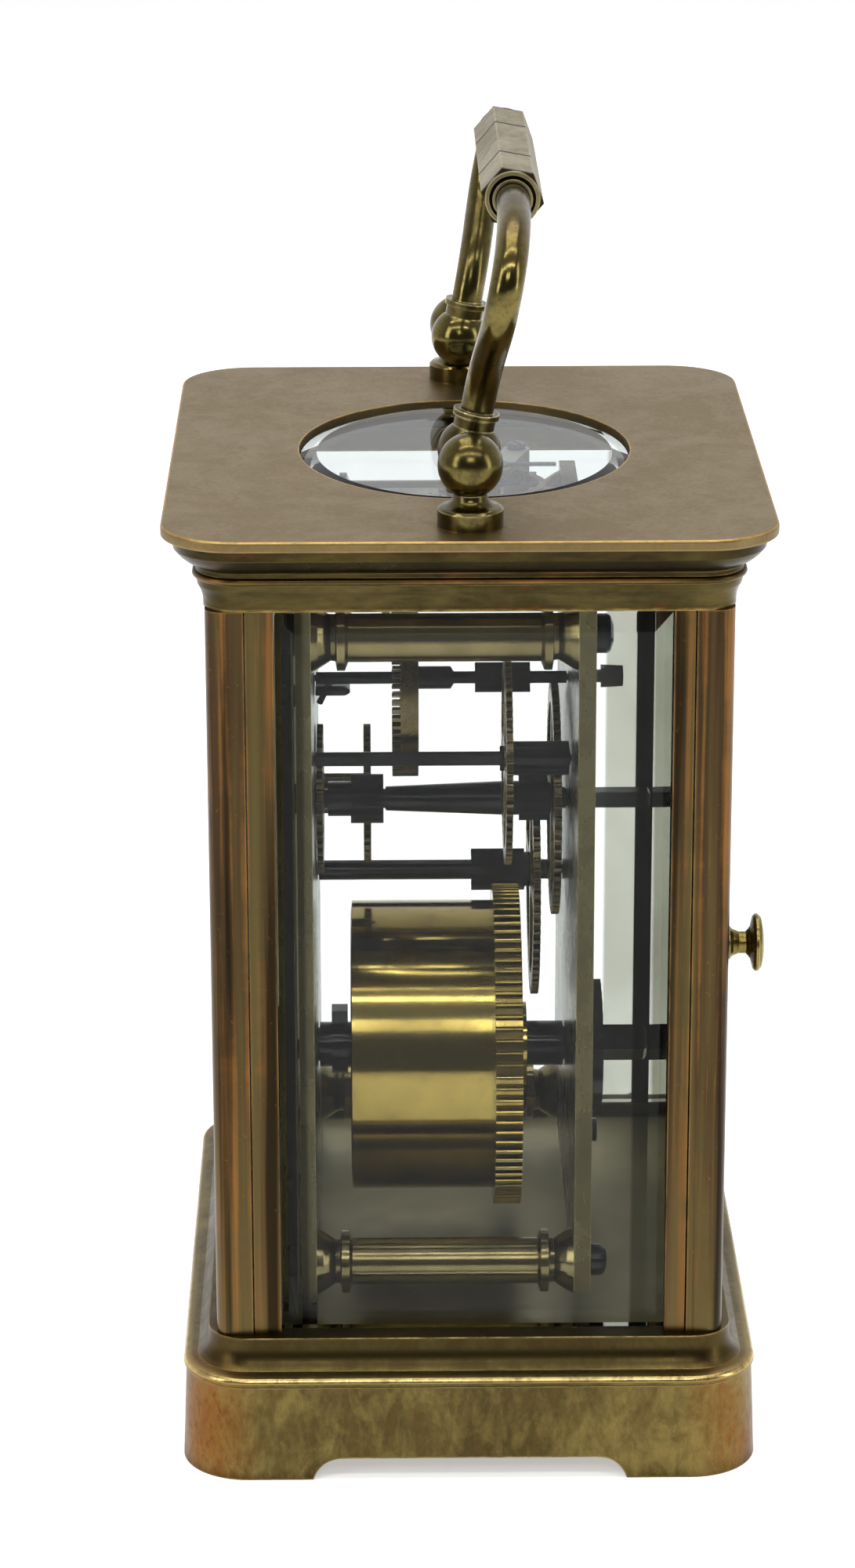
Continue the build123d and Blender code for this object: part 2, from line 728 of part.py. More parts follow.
with BuildPart() as handle_grip:
    grip_facets(-grip_half_length, grip_half_length, grip_corner_radius - 0.35)
    for low, high in (
        (-grip_half_length, -grip_groove_x - 0.15),
        (0.15 - grip_groove_x, grip_groove_x - 0.15),
        (grip_groove_x + 0.15, grip_half_length),
    ):
        grip_facets(low, high, grip_corner_radius)
    for side in (-1, 1):
        rim_end = side * (grip_half_length + grip_rim)
        recess_floor = side * (grip_half_length - 0.4)
        grip_round(side * grip_half_length, rim_end, grip_rim_radius)
        grip_round(recess_floor, rim_end, grip_rim_radius - 0.5, Mode.SUBTRACT)
        grip_round(recess_floor, side * grip_end_x, 2.3)
        grip_round(side * (grip_end_x - 5.0), side * grip_end_x, 1.35, Mode.SUBTRACT)
        grip_round(side * (grip_end_x - 0.75), side * grip_end_x, handle_arm_radius + 0.05, Mode.SUBTRACT)
save(handle_grip, "handle_grip")

with BuildPart() as handle_pivot_pins:
    for side in (-1, 1):
        with BuildSketch(along_x(side * (ball_split - 3.7), 0, pivot_z, side)):
            Circle(1.0)
        extrude(amount=7.1)
save(handle_pivot_pins, "handle_pivot_pins")

# Plates: brass sheets with a pivot hole for each arbor
pivot_radii = {
    "barrel": 2.1,
    "intermediate": 0.6,
    "third": 0.4,
    "contrate": 0.4,
}
arbor_places = {
    "barrel": barrel_at,
    "intermediate": intermediate_at,
    "third": third_at,
    "contrate": contrate_at,
}
pillar_places = [(x, z) for x in (-pillar_x, pillar_x) for z in (pillar_low_z, pillar_high_z)]
pillar_screw_radius = 1.0
hour_pipe_radius = 1.9
centre_arbor_radius = 1.2
minute_stud_radius = 0.8
dial_radius = 25.5
dial_post_x = plate_half_width - 9.0
dial_post_places = [
    (x, centre_height + rise) for x in (-dial_post_x, dial_post_x) for rise in (-41.8, 20.2)
]


def movement_plate(y, thickness, bottom, centre_hole):
    height = plates_top - bottom
    middle = (0, (plates_top + bottom) / 2)
    with BuildPart() as plate:
        with BuildSketch(across(middle, y)):
            Rectangle(2 * plate_half_width, height)
        extrude(amount=thickness)
        for name, place in arbor_places.items():
            rod(place, pivot_radii[name] + running_clearance, y, y + thickness, Mode.SUBTRACT)
        rod(centre_at, centre_hole, y, y + thickness, Mode.SUBTRACT)
        for place in pillar_places:
            rod(place, pillar_screw_radius + 0.1, y, y + thickness, Mode.SUBTRACT)
    return plate


front_plate = movement_plate(
    front_plate_y, front_plate_thickness, base_floor + 0.1, hour_pipe_radius + running_clearance
)
with front_plate:
    rod(minute_at, minute_stud_radius, front_inner_y, front_inner_y + 7.2)
    for x in (-plate_screw_x, plate_screw_x):
        upright_rod((x, plate_screw_y), 0.6, base_floor, base_floor + 4, Mode.SUBTRACT)
save(front_plate, "front_plate")

click_at = (barrel_at[0] - 9.6, barrel_at[1] - 6.8)
click_spring_foot = (click_at[0] - 1.0, click_at[1] - 9.5)
back_plate = movement_plate(
    back_plate_y, back_plate_thickness, back_plate_bottom, centre_arbor_radius - 0.1 + running_clearance
)
with back_plate:
    for place in (click_at, click_spring_foot):
        rod(place, 0.6, back_plate_y, back_outer_y, Mode.SUBTRACT)
save(back_plate, "back_plate")

# Pillars: the same turned end at both plates, given as (radius, distance from the plate)
pillar_end = [(4.0, 0), (3.6, 0.8), (2.6, 2.3), (2.7, 2.8), (3.8, 3.0), (3.8, 3.9), (pillar_radius, 4.3)]
with BuildPart() as plate_pillars:
    low = front_inner_y
    high = back_plate_y
    front_half = [(radius, low + away) for radius, away in pillar_end]
    back_half = [(radius, high - away) for radius, away in reversed(pillar_end)]
    for place in pillar_places:
        turned(place, [(0, low)] + front_half + back_half + [(0, high)])
        rod(place, pillar_screw_radius + 0.05, low, low + 5.2, Mode.SUBTRACT)
        rod(place, pillar_screw_radius + 0.05, high - 5.2, high, Mode.SUBTRACT)
save(plate_pillars, "plate_pillars")

back_head = [(1.9, 0), (1.9, 1.3), (1.65, 1.75), (1.0, 2.05), (0, 2.15)]
front_head_height = 0.95
with BuildPart() as pillar_screws:
    for place in pillar_places:
        rod(place, pillar_screw_radius, front_plate_y, front_inner_y + 5)
        rod(place, 2.0, front_plate_y - front_head_height, front_plate_y)
        rod(place, pillar_screw_radius, back_plate_y - 5, back_outer_y)
        turned(place, [(0, back_outer_y)] + [(radius, back_outer_y + out) for radius, out in back_head])
        for y in (front_plate_y - front_head_height, back_outer_y + 1.6):
            with BuildSketch(across(place, y)):
                Rectangle(4.4, 0.5)
            extrude(amount=0.6, mode=Mode.SUBTRACT)
save(pillar_screws, "pillar_screws")

# Dial, its mask and the short posts that carry them
with BuildPart() as dial_posts:
    for place in dial_post_places:
        rod(place, 1.3, mask_y + mask_thickness, front_plate_y)
save(dial_posts, "dial_posts")

mask_high = plates_top - 0.3
with BuildPart() as dial_mask:
    with BuildSketch(across((0, (base_height + 0.5 + mask_high) / 2), mask_y)):
        Rectangle(2 * plate_half_width + 1.0, mask_high - base_height - 0.5)
    extrude(amount=mask_thickness)
    rod(centre_at, 3.0, mask_y, mask_y + mask_thickness, Mode.SUBTRACT)
save(dial_mask, "dial_mask")

with BuildPart() as dial:
    turned(
        centre_at,
        [
            (2.6, mask_y), (dial_radius, mask_y), (dial_radius, dial_y + 0.5),
            (dial_radius - 0.5, dial_y + 0.2), (dial_radius - 2, dial_y), (2.9, dial_y), (2.6, dial_y + 0.3),
        ],
    )
save(dial, "dial")

# Going barrel
barrel_front = front_inner_y + 4.3
great_front = back_plate_y - 9.0
great_thickness = 3.3
barrel_radius = 18.05
barrel_wall = 1.0
barrel_arbor_radius = 2.8
barrel_bore = barrel_arbor_radius + running_clearance
with BuildPart() as mainspring_barrel:
    with BuildSketch(across(barrel_at, great_front)) as teeth:
        wheel_outline(great_teeth, great_module, bearing(barrel_at, intermediate_at))
        Circle(barrel_bore, mode=Mode.SUBTRACT)
    extrude(amount=great_thickness)
    turned(
        barrel_at,
        [
            (barrel_radius, great_front), (barrel_radius, barrel_front),
            (barrel_radius - 0.6, barrel_front - 0.15), (barrel_radius - barrel_wall, barrel_front),
            (barrel_radius - barrel_wall, great_front),
        ],
    )
    rod(barrel_at, 5.2, great_front + great_thickness, great_front + great_thickness + 0.9)
    rod(barrel_at, barrel_bore, great_front, great_front + great_thickness + 1, Mode.SUBTRACT)
save(mainspring_barrel, "mainspring_barrel")

cap_thickness = 1.0
with BuildPart() as barrel_cap:
    turned(
        barrel_at,
        [
            (barrel_bore, barrel_front + 0.2), (barrel_radius - barrel_wall - 0.03, barrel_front + 0.2),
            (barrel_radius - barrel_wall - 0.03, barrel_front + 0.2 + cap_thickness),
            (barrel_bore, barrel_front + 0.2 + cap_thickness),
        ],
    )
save(barrel_cap, "barrel_cap")

spring_turns = 9
spring_low = barrel_front + 0.2 + cap_thickness + 0.4
spring_high = great_front - 0.4
spring_inner = 5.6
spring_pitch = (barrel_radius - barrel_wall - 1.0 - spring_inner) / spring_turns
with BuildPart() as mainspring:
    with BuildLine(across(barrel_at, spring_low)) as coil:
        radius = spring_inner
        start = (radius, 0)
        side = 1
        for half_turn in range(2 * spring_turns):
            end = (-side * (radius + spring_pitch / 2), 0)
            middle_x = (start[0] + end[0]) / 2
            crest = (middle_x, side * (abs(start[0] - end[0]) / 2))
            ThreePointArc(start, crest, end)
            start = end
            radius += spring_pitch / 2
            side = -side
    strip_side = Align.MAX if (coil.line % 0).Z < 0 else Align.MIN
    with BuildSketch(Plane(origin=coil.line @ 0, x_dir=(1, 0, 0), z_dir=coil.line % 0)):
        Rectangle(0.4, spring_high - spring_low, align=(Align.CENTER, strip_side))
    sweep(path=coil.line)
save(mainspring, "mainspring")

square_end = back_outer_y + 8.3
winding_square = 3.4
ratchet_square = 3.7
ratchet_front = back_outer_y + 0.4
ratchet_thickness = 2.2
with BuildPart() as barrel_arbor:
    shoulder_low = front_inner_y + 0.2
    hub_low = spring_low - 0.2
    turned(
        barrel_at,
        [
            (0, front_plate_y - 0.4), (pivot_radii["barrel"], front_plate_y - 0.4),
            (pivot_radii["barrel"], shoulder_low), (barrel_arbor_radius, shoulder_low),
            (barrel_arbor_radius, hub_low), (4.6, hub_low), (4.6, spring_high + 0.2),
            (barrel_arbor_radius, spring_high + 0.2), (barrel_arbor_radius, back_plate_y - 0.2),
            (pivot_radii["barrel"], back_plate_y - 0.2), (pivot_radii["barrel"], ratchet_front),
            (0, ratchet_front),
        ],
    )
    with BuildSketch(across(barrel_at, barrel_front - 2.6)):
        with Locations((0, -2.6)):
            Rectangle(2.4, 4.6)
        Circle(3.6)
    extrude(amount=2.0)
    with BuildSketch(across(barrel_at, ratchet_front)):
        Rectangle(ratchet_square, ratchet_square, rotation=45)
    extrude(amount=ratchet_thickness)
    with BuildSketch(across(barrel_at, ratchet_front + ratchet_thickness)):
        Rectangle(winding_square, winding_square, rotation=45)
    extrude(amount=square_end - ratchet_front - ratchet_thickness)
    chamfer(barrel_arbor.edges().group_by(Axis.Y)[-1], 0.4)
save(barrel_arbor, "barrel_arbor")

ratchet_radius = 8.0
ratchet_teeth = 24
with BuildPart() as ratchet_wheel:
    with BuildSketch(across(barrel_at, ratchet_front)):
        with BuildLine():
            step = 360 / ratchet_teeth
            points = []
            for tooth in range(ratchet_teeth):
                points.append(polar(ratchet_radius, tooth * step))
                points.append(polar(ratchet_radius - 1.0, tooth * step + 1.5))
            Polyline(*points, close=True)
        make_face()
        Rectangle(ratchet_square + 0.1, ratchet_square + 0.1, rotation=45, mode=Mode.SUBTRACT)
    extrude(amount=ratchet_thickness)
save(ratchet_wheel, "ratchet_wheel")

# Click: a pawl on a screw, its nose just clear of the ratchet's teeth, and its flat spring
click_thickness = 1.6
click_screw_radius = 0.75
click_front = ratchet_front + 0.2
reach = math.hypot(barrel_at[0] - click_at[0], barrel_at[1] - click_at[1]) - ratchet_radius
nose_angle = math.radians(bearing(click_at, barrel_at))


def click_local(along, aside):
    x = along * math.cos(nose_angle) - aside * math.sin(nose_angle)
    y = along * math.sin(nose_angle) + aside * math.cos(nose_angle)
    return (x, y)


with BuildPart() as click:
    with BuildSketch(across(click_at, click_front)):
        Circle(1.7)
        with BuildLine():
            Polyline(
                click_local(0, -1.6), click_local(reach - 0.9, -3.3), click_local(reach - 0.35, -2.6),
                click_local(reach - 0.9, -0.2), click_local(0.6, 1.5), close=True,
            )
        make_face()
        with BuildLine():
            Polyline(
                click_local(0, 1.5), click_local(-3.8, 1.1), click_local(-3.9, 0.1), click_local(0, -1.5),
                close=True,
            )
        make_face()
        Circle(click_screw_radius + running_clearance, mode=Mode.SUBTRACT)
    extrude(amount=click_thickness)
save(click, "click")

spring_plane = across(click_spring_foot, click_front)
with BuildPart() as click_spring:
    with BuildSketch(spring_plane):
        Circle(1.6)
        with BuildLine():
            Polyline(
                (-1.5, 0), (-4.4, -3.2), (-4.6, -8.3), (-4.1, -8.4), (-3.8, -3.5), (-0.6, -1.3), close=True
            )
        make_face()
        Circle(click_screw_radius + 0.1, mode=Mode.SUBTRACT)
    extrude(amount=1.2)
    rod(click_spring_foot, 1.6, back_outer_y, click_front)
    rod(click_spring_foot, click_screw_radius + 0.1, back_outer_y, click_front, Mode.SUBTRACT)
save(click_spring, "click_spring")

with BuildPart() as click_screws:
    click_screw_top = click_front + click_thickness + 0.1
    for place, top in ((click_at, click_screw_top), (click_spring_foot, click_front + 1.2)):
        rod(place, 0.55, back_plate_y + 0.2, back_outer_y)
        rod(place, click_screw_radius, back_outer_y, top)
        rod(place, 1.5, top, top + 0.9)
        with BuildSketch(across(place, top + 0.5)):
            Rectangle(3.2, 0.45, rotation=35)
        extrude(amount=0.4, mode=Mode.SUBTRACT)
    rod(click_at, 1.2, back_outer_y, click_front - 0.05)
save(click_screws, "click_screws")

# Intermediate wheel
wheel_fit = 0.02
intermediate_hub = 2.2
with BuildPart() as intermediate_arbor:
    pivot = pivot_radii["intermediate"]
    hub_low = back_plate_y - 5.0
    turned(
        intermediate_at,
        [
            (0, front_plate_y), (pivot, front_plate_y), (pivot, front_inner_y + 0.15),
            (1.25, front_inner_y + 0.15), (1.25, hub_low), (intermediate_hub, hub_low),
            (intermediate_hub, hub_low + 2.1), (1.25, hub_low + 2.1), (1.25, back_plate_y - 0.15),
            (pivot, back_plate_y - 0.15), (pivot, back_outer_y), (0, back_outer_y),
        ],
    )
    meshing = bearing(intermediate_at, barrel_at) + 180 / intermediate_leaves
    pinion(intermediate_at, great_front - 2.5, hub_low + 0.2, intermediate_leaves, great_module, meshing)
save(intermediate_arbor, "intermediate_arbor")

with BuildPart() as intermediate_wheel:
    toward_centre = bearing(intermediate_at, centre_at)
    wheel(
        intermediate_at, hub_low + 0.9, 0.9, intermediate_teeth, intermediate_module, toward_centre,
        intermediate_hub + wheel_fit, 3.6, 1.7, 4,
    )
save(intermediate_wheel, "intermediate_wheel")

# Centre arbor with the minute hand in front and the hand-setting square behind
centre_hub = 1.9
centre_wheel_y = back_plate_y - 2.0
centre_pinion_y = centre_wheel_y - 3.9
with BuildPart() as centre_arbor:
    turned(
        centre_at,
        [
            (0, hand_end), (0.8, hand_end), (0.9, hand_end + 1.3), (centre_arbor_radius, hand_end + 1.4),
            (centre_arbor_radius, front_inner_y + 8.5), (1.5, front_inner_y + 8.6),
            (2.1, centre_pinion_y - 1.7), (2.1, centre_pinion_y - 0.1), (centre_hub, centre_pinion_y),
            (centre_hub, centre_wheel_y + 1.0), (1.3, centre_wheel_y + 1.0), (1.3, back_plate_y - 0.15),
            (centre_arbor_radius - 0.1, back_plate_y - 0.15),
            (centre_arbor_radius - 0.1, back_outer_y + 0.9), (0, back_outer_y + 0.9),
        ],
    )
    toward_driver = bearing(centre_at, intermediate_at) + 180 / centre_leaves
    pinion(
        centre_at, centre_pinion_y, centre_wheel_y - 0.4, centre_leaves, intermediate_module, toward_driver
    )
    with BuildSketch(across(centre_at, back_outer_y + 0.9)):
        Rectangle(2.0, 2.0)
    extrude(amount=7.3)
    chamfer(centre_arbor.edges().group_by(Axis.Y)[-1], 0.3)
save(centre_arbor, "centre_arbor")

with BuildPart() as centre_wheel:
    toward_third = bearing(centre_at, third_at)
    wheel(
        centre_at, centre_wheel_y, 0.9, centre_teeth, centre_module, toward_third,
        centre_hub + wheel_fit, 3.2, 1.5, 4,
    )
save(centre_wheel, "centre_wheel")

cannon_front = front_inner_y + 1.5
cannon_leaves_y = front_inner_y + 4.3
cannon_back = front_inner_y + 8.3
with BuildPart() as cannon_pinion:
    rod(centre_at, 2.15, cannon_front, cannon_leaves_y)
    toward_minute = bearing(centre_at, minute_at) + 180 / cannon_leaves
    pinion(centre_at, cannon_leaves_y, cannon_back, cannon_leaves, cannon_module, toward_minute)
    rod(centre_at, centre_arbor_radius + wheel_fit, cannon_front, cannon_back, Mode.SUBTRACT)
save(cannon_pinion, "cannon_pinion")

with BuildPart() as minute_wheel:
    minute_front = cannon_leaves_y + 1.55
    wheel(
        minute_at, minute_front, 0.9, minute_teeth, cannon_module, bearing(minute_at, centre_at),
        minute_stud_radius + running_clearance, 2.4, 1.3, 4,
    )
    pinion(
        minute_at, front_inner_y + 0.3, minute_front, minute_leaves, hour_module,
        bearing(minute_at, centre_at) + 180 / minute_leaves,
    )
    rod(
        minute_at, minute_stud_radius + running_clearance, front_inner_y, minute_front + 1, Mode.SUBTRACT
    )
save(minute_wheel, "minute_wheel")

hour_front = front_inner_y + 0.2
with BuildPart() as hour_wheel:
    wheel(
        centre_at, hour_front, 0.75, hour_teeth, hour_module, bearing(centre_at, minute_at),
        centre_arbor_radius + running_clearance, 3.2, 1.3, 4,
    )
    rod(centre_at, hour_pipe_radius, dial_y - 1.6, hour_front)
    rod(centre_at, centre_arbor_radius + running_clearance, dial_y - 1.6, hour_front + 1, Mode.SUBTRACT)
save(hour_wheel, "hour_wheel")


def clock_hand(y, thickness, length, bore, collar, bulb):
    """A slim leaf-shaped hand that points up from the dial's centre."""
    with BuildPart() as hand:
        with BuildSketch(across(centre_at, y)):
            Circle(collar)
            with BuildLine():
                right = Spline((0.7, 0), (0.45, -0.35 * length), (bulb, -0.62 * length), (0, -length))
                left = Spline((0, -length), (-bulb, -0.62 * length), (-0.45, -0.35 * length), (-0.7, 0))
                Line(left @ 1, right @ 0)
            make_face()
            Circle(bore, mode=Mode.SUBTRACT)
        extrude(amount=thickness)
    return hand


hour_hand = clock_hand(dial_y - 1.5, 0.5, 14.5, hour_pipe_radius + wheel_fit, 2.9, 1.5)
save(hour_hand, "hour_hand")
minute_hand = clock_hand(hand_end + 0.5, 0.5, 21.5, 0.9, 2.0, 1.0)
save(minute_hand, "minute_hand")

# Third wheel
third_hub = 1.5
third_wheel_y = back_plate_y - 8.1
with BuildPart() as third_arbor:
    pivot = pivot_radii["third"]
    turned(
        third_at,
        [
            (0, front_plate_y), (pivot, front_plate_y), (pivot, front_inner_y + 0.15),
            (0.85, front_inner_y + 0.15), (0.85, third_wheel_y - 0.5), (third_hub, third_wheel_y - 0.5),
            (third_hub, third_wheel_y + 0.9), (0.85, third_wheel_y + 0.9), (0.85, back_plate_y - 0.15),
            (pivot, back_plate_y - 0.15), (pivot, back_outer_y), (0, back_outer_y),
        ],
    )
    pinion(
        third_at, third_wheel_y + 0.9, back_plate_y - 0.3, third_leaves, centre_module,
        bearing(third_at, centre_at) + 180 / third_leaves,
    )
save(third_arbor, "third_arbor")

with BuildPart() as third_wheel:
    wheel(
        third_at, third_wheel_y, 0.8, third_teeth, third_module, bearing(third_at, contrate_at),
        third_hub + wheel_fit, 2.8, 1.2, 4,
    )
save(third_wheel, "third_wheel")

# Contrate wheel: its teeth stand off the rim toward the dial
contrate_back = (front_inner_y + back_plate_y) / 2 - 2.85
contrate_radius = 12.0
contrate_rim = 1.1
contrate_rim_depth = 2.15
contrate_tooth = 1.0
contrate_hub = 1.4
with BuildPart() as contrate_arbor:
    pivot = pivot_radii["contrate"]
    turned(
        contrate_at,
        [
            (0, front_plate_y), (pivot, front_plate_y), (pivot, front_inner_y + 0.15),
            (0.75, front_inner_y + 0.15), (0.75, contrate_back - 1.2), (contrate_hub, contrate_back - 1.2),
            (contrate_hub, contrate_back + 4.0), (0.75, contrate_back + 4.4), (0.75, back_plate_y - 0.15),
            (pivot, back_plate_y - 0.15), (pivot, back_outer_y), (0, back_outer_y),
        ],
    )
    pinion(
        contrate_at, third_wheel_y - 3.2, third_wheel_y + 3.5, contrate_leaves, third_module,
        bearing(contrate_at, third_at) + 180 / contrate_leaves,
    )
save(contrate_arbor, "contrate_arbor")

with BuildPart() as contrate_wheel:
    rim_front = contrate_back - contrate_rim_depth
    inner = contrate_radius - contrate_rim
    with BuildSketch(across(contrate_at, rim_front)):
        Circle(contrate_radius)
        Circle(inner, mode=Mode.SUBTRACT)
    extrude(amount=contrate_rim_depth)
    with BuildSketch(across(contrate_at, contrate_back - 0.7)):
        Circle(2.6)
        with PolarLocations(0, 4, start_angle=45):
            Rectangle(inner + 0.4, 1.3, align=(Align.MIN, Align.CENTER))
        Circle(contrate_hub + wheel_fit, mode=Mode.SUBTRACT)
    extrude(amount=0.7)
    with BuildSketch(across(contrate_at, rim_front)):
        with PolarLocations(inner + contrate_rim / 2, contrate_teeth, start_angle=-90):
            Rectangle(contrate_rim, 0.42)
    extrude(amount=-contrate_tooth)
save(contrate_wheel, "contrate_wheel")

# Lever platform escapement on top of the plates
platform_z = plates_top + 0.1
platform_thickness = 1.2
platform_top = platform_z + platform_thickness
platform_half_x = 13.0
platform_low_y = front_plate_y + 0.2
platform_high_y = back_outer_y - 0.2
escape_module = 2 * (contrate_radius - contrate_rim / 2) / contrate_teeth
escape_pitch_radius = escape_leaves * escape_module / 2
escape_at = (0.0, rim_front - 0.55 * contrate_tooth - escape_pitch_radius)
contrate_top = contrate_at[1] + contrate_radius
escape_foot = contrate_top - 5.5
lever_at = (0.0, escape_at[1] + 5.4)
balance_at = (0.0, lever_at[1] + 7.6)
screw_small = 0.6
platform_screw_places = [
    (x, y)
    for x in (-platform_half_x + 2, platform_half_x - 2)
    for y in (front_plate_y + front_plate_thickness / 2, back_plate_y + back_plate_thickness / 2)
]
balance_cock_foot = (-8.5, balance_at[1] + 3.0)
lever_cock_foot = (8.2, escape_at[1] + 2.6)
with BuildPart() as escapement_platform:
    with BuildSketch(Plane.XY.offset(platform_z)):
        with Locations((0, (platform_low_y + platform_high_y) / 2)):
            RectangleRounded(2 * platform_half_x, platform_high_y - platform_low_y, 1.5)
    extrude(amount=platform_thickness)
    with BuildSketch(Plane.XY.offset(escape_foot - 1.4)):
        with Locations((0, escape_at[1])):
            Rectangle(3.0, 5.6, align=(Align.CENTER, Align.MAX))
            Circle(0.9)
    extrude(amount=1.4)
    with BuildSketch(Plane.XY.offset(escape_foot - 1.4)):
        with Locations((0, escape_at[1] - 4.2)):
            Rectangle(3.0, 1.4, align=(Align.CENTER, Align.MAX))
    extrude(amount=platform_z - escape_foot + 1.4)
    upright_rod(escape_at, 1.7, platform_z, platform_top, Mode.SUBTRACT)
    upright_rod(escape_at, 0.25 + running_clearance, escape_foot - 1.4, escape_foot, Mode.SUBTRACT)
    for place in (lever_at, balance_at):
        upright_rod(place, 0.25 + running_clearance, platform_z, platform_top, Mode.SUBTRACT)
    for place in platform_screw_places + [balance_cock_foot, lever_cock_foot]:
        upright_rod(place, screw_small + 0.05, platform_z, platform_top, Mode.SUBTRACT)
save(escapement_platform, "escapement_platform")

lever_cock_under = platform_top + 2.0
lever_cock_thickness = 0.8
with BuildPart() as lever_cock:
    with BuildSketch(Plane.XY.offset(platform_top)):
        with Locations(lever_cock_foot):
            Circle(2.0)
    extrude(amount=lever_cock_under + lever_cock_thickness - platform_top)
    with BuildSketch(Plane.XY.offset(lever_cock_under)):
        for place in (escape_at, lever_at):
            with Locations(place):
                Circle(1.4)
        with BuildLine():
            Polyline(
                (escape_at[0], escape_at[1] - 1.3), (lever_cock_foot[0], lever_cock_foot[1] - 1.9),
                (lever_cock_foot[0], lever_cock_foot[1] + 1.9), (lever_at[0], lever_at[1] + 1.3),
                close=True,
            )
        make_face()
    extrude(amount=lever_cock_thickness)
    lever_cock_top = lever_cock_under + lever_cock_thickness
    for place in (escape_at, lever_at):
        upright_rod(place, 0.25 + running_clearance, lever_cock_under, lever_cock_top, Mode.SUBTRACT)
    upright_rod(lever_cock_foot, screw_small + 0.05, platform_top, lever_cock_top, Mode.SUBTRACT)
save(lever_cock, "lever_cock")

balance_radius = 6.3
balance_low = platform_top + 3.2
balance_cock_under = platform_top + 5.1
balance_cock_thickness = 1.0
with BuildPart() as balance_cock:
    with BuildSketch(Plane.XY.offset(platform_top)):
        with Locations(balance_cock_foot):
            Circle(1.6)
    extrude(amount=balance_cock_under + balance_cock_thickness - platform_top)
    with BuildSketch(Plane.XY.offset(balance_cock_under)):
        with Locations(balance_at):
            Circle(2.2)
        with Locations(balance_cock_foot):
            Circle(1.6)
        with BuildLine():
            Polyline(
                (balance_at[0], balance_at[1] - 2.0), (balance_cock_foot[0], balance_cock_foot[1] - 1.5),
                (balance_cock_foot[0], balance_cock_foot[1] + 1.5), (balance_at[0], balance_at[1] + 2.1),
                close=True,
            )
        make_face()
    extrude(amount=balance_cock_thickness)
    balance_cock_top = balance_cock_under + balance_cock_thickness
    upright_rod(balance_at, 0.25 + running_clearance, balance_cock_under, balance_cock_top, Mode.SUBTRACT)
    upright_rod(balance_cock_foot, screw_small + 0.05, platform_top, balance_cock_top, Mode.SUBTRACT)
    stud_at = (-3.4, balance_at[1] + 2.6)
    upright_rod(stud_at, 0.35, balance_low + 1.2, balance_cock_under + 0.5)
save(balance_cock, "balance_cock")

with BuildPart() as platform_screws:
    screws = [(place, platform_top) for place in platform_screw_places]
    screws += [(balance_cock_foot, balance_cock_top), (lever_cock_foot, lever_cock_top)]
    for place, top in screws:
        upright_rod(place, 1.15, top, top + 0.7)
        upright_rod(place, screw_small, platform_z, top)
        with BuildSketch(Plane.XY.offset(top + 0.4)):
            with Locations(place):
                Rectangle(2.5, 0.35, rotation=25)
        extrude(amount=0.4, mode=Mode.SUBTRACT)
save(platform_screws, "platform_screws")

escape_radius = 3.8
escape_teeth = 15
escape_wheel_z = platform_top + 0.8
with BuildPart() as escape_wheel:
    turned_upright(
        escape_at,
        [
            (0, escape_foot - 1.3), (0.25, escape_foot - 1.3), (0.25, escape_foot + 0.15),
            (0.5, escape_foot + 0.15), (0.5, lever_cock_under - 0.15), (0.25, lever_cock_under - 0.15),
            (0.25, lever_cock_under + 0.6), (0, lever_cock_under + 0.6),
        ],
    )
    with BuildSketch(Plane(origin=(escape_at[0], escape_at[1], contrate_top - 3.2))) as leaves:
        leaf_outline(escape_leaves, escape_module, 90 + 180 / escape_leaves)
    extrude(amount=4.6)
    with BuildSketch(Plane(origin=(escape_at[0], escape_at[1], escape_wheel_z))):
        with BuildLine():
            step = 360 / escape_teeth
            points = []
            for tooth in range(escape_teeth):
                points.append(polar(escape_radius, tooth * step))
                points.append(polar(escape_radius, tooth * step + 4))
                points.append(polar(escape_radius - 1.0, tooth * step + 8))
                points.append(polar(escape_radius - 1.0, tooth * step - 5 + step))
            Polyline(*points, close=True)
        make_face()
        Circle(escape_radius - 1.5, mode=Mode.SUBTRACT)
        with PolarLocations(0, 4):
            Rectangle(escape_radius - 1.3, 0.45, align=(Align.MIN, Align.CENTER))
        Circle(0.9)
    extrude(amount=0.4)
save(escape_wheel, "escape_wheel")

pallet_reach = escape_radius + 0.25
with BuildPart() as pallet_lever:
    upright_rod(lever_at, 0.25, platform_z + 0.2, lever_cock_under + 0.6)
    upright_rod(lever_at, 0.6, platform_top + 0.3, lever_cock_under - 0.15)
    with BuildSketch(Plane.XY.offset(escape_wheel_z - 0.1)):
        with Locations(lever_at):
            Circle(0.85)
            Rectangle(0.7, 4.6, align=(Align.CENTER, Align.MIN))
            with Locations((0, 4.6)):
                Rectangle(1.6, 0.5, align=(Align.CENTER, Align.MIN))
        for side in (-1, 1):
            tip = polar(pallet_reach + 0.1, 90 + side * 32)
            tip_x = escape_at[0] + tip[0]
            tip_y = escape_at[1] + tip[1]
            with BuildLine():
                Polyline(
                    (lever_at[0], lever_at[1] + 0.4), (tip_x - side * 0.3, tip_y + 0.55),
                    (tip_x - side * 0.35, tip_y), (tip_x + side * 0.2, tip_y + 0.05),
                    (lever_at[0], lever_at[1] - 0.5), close=True,
                )
            make_face()
    extrude(amount=0.5)
save(pallet_lever, "pallet_lever")

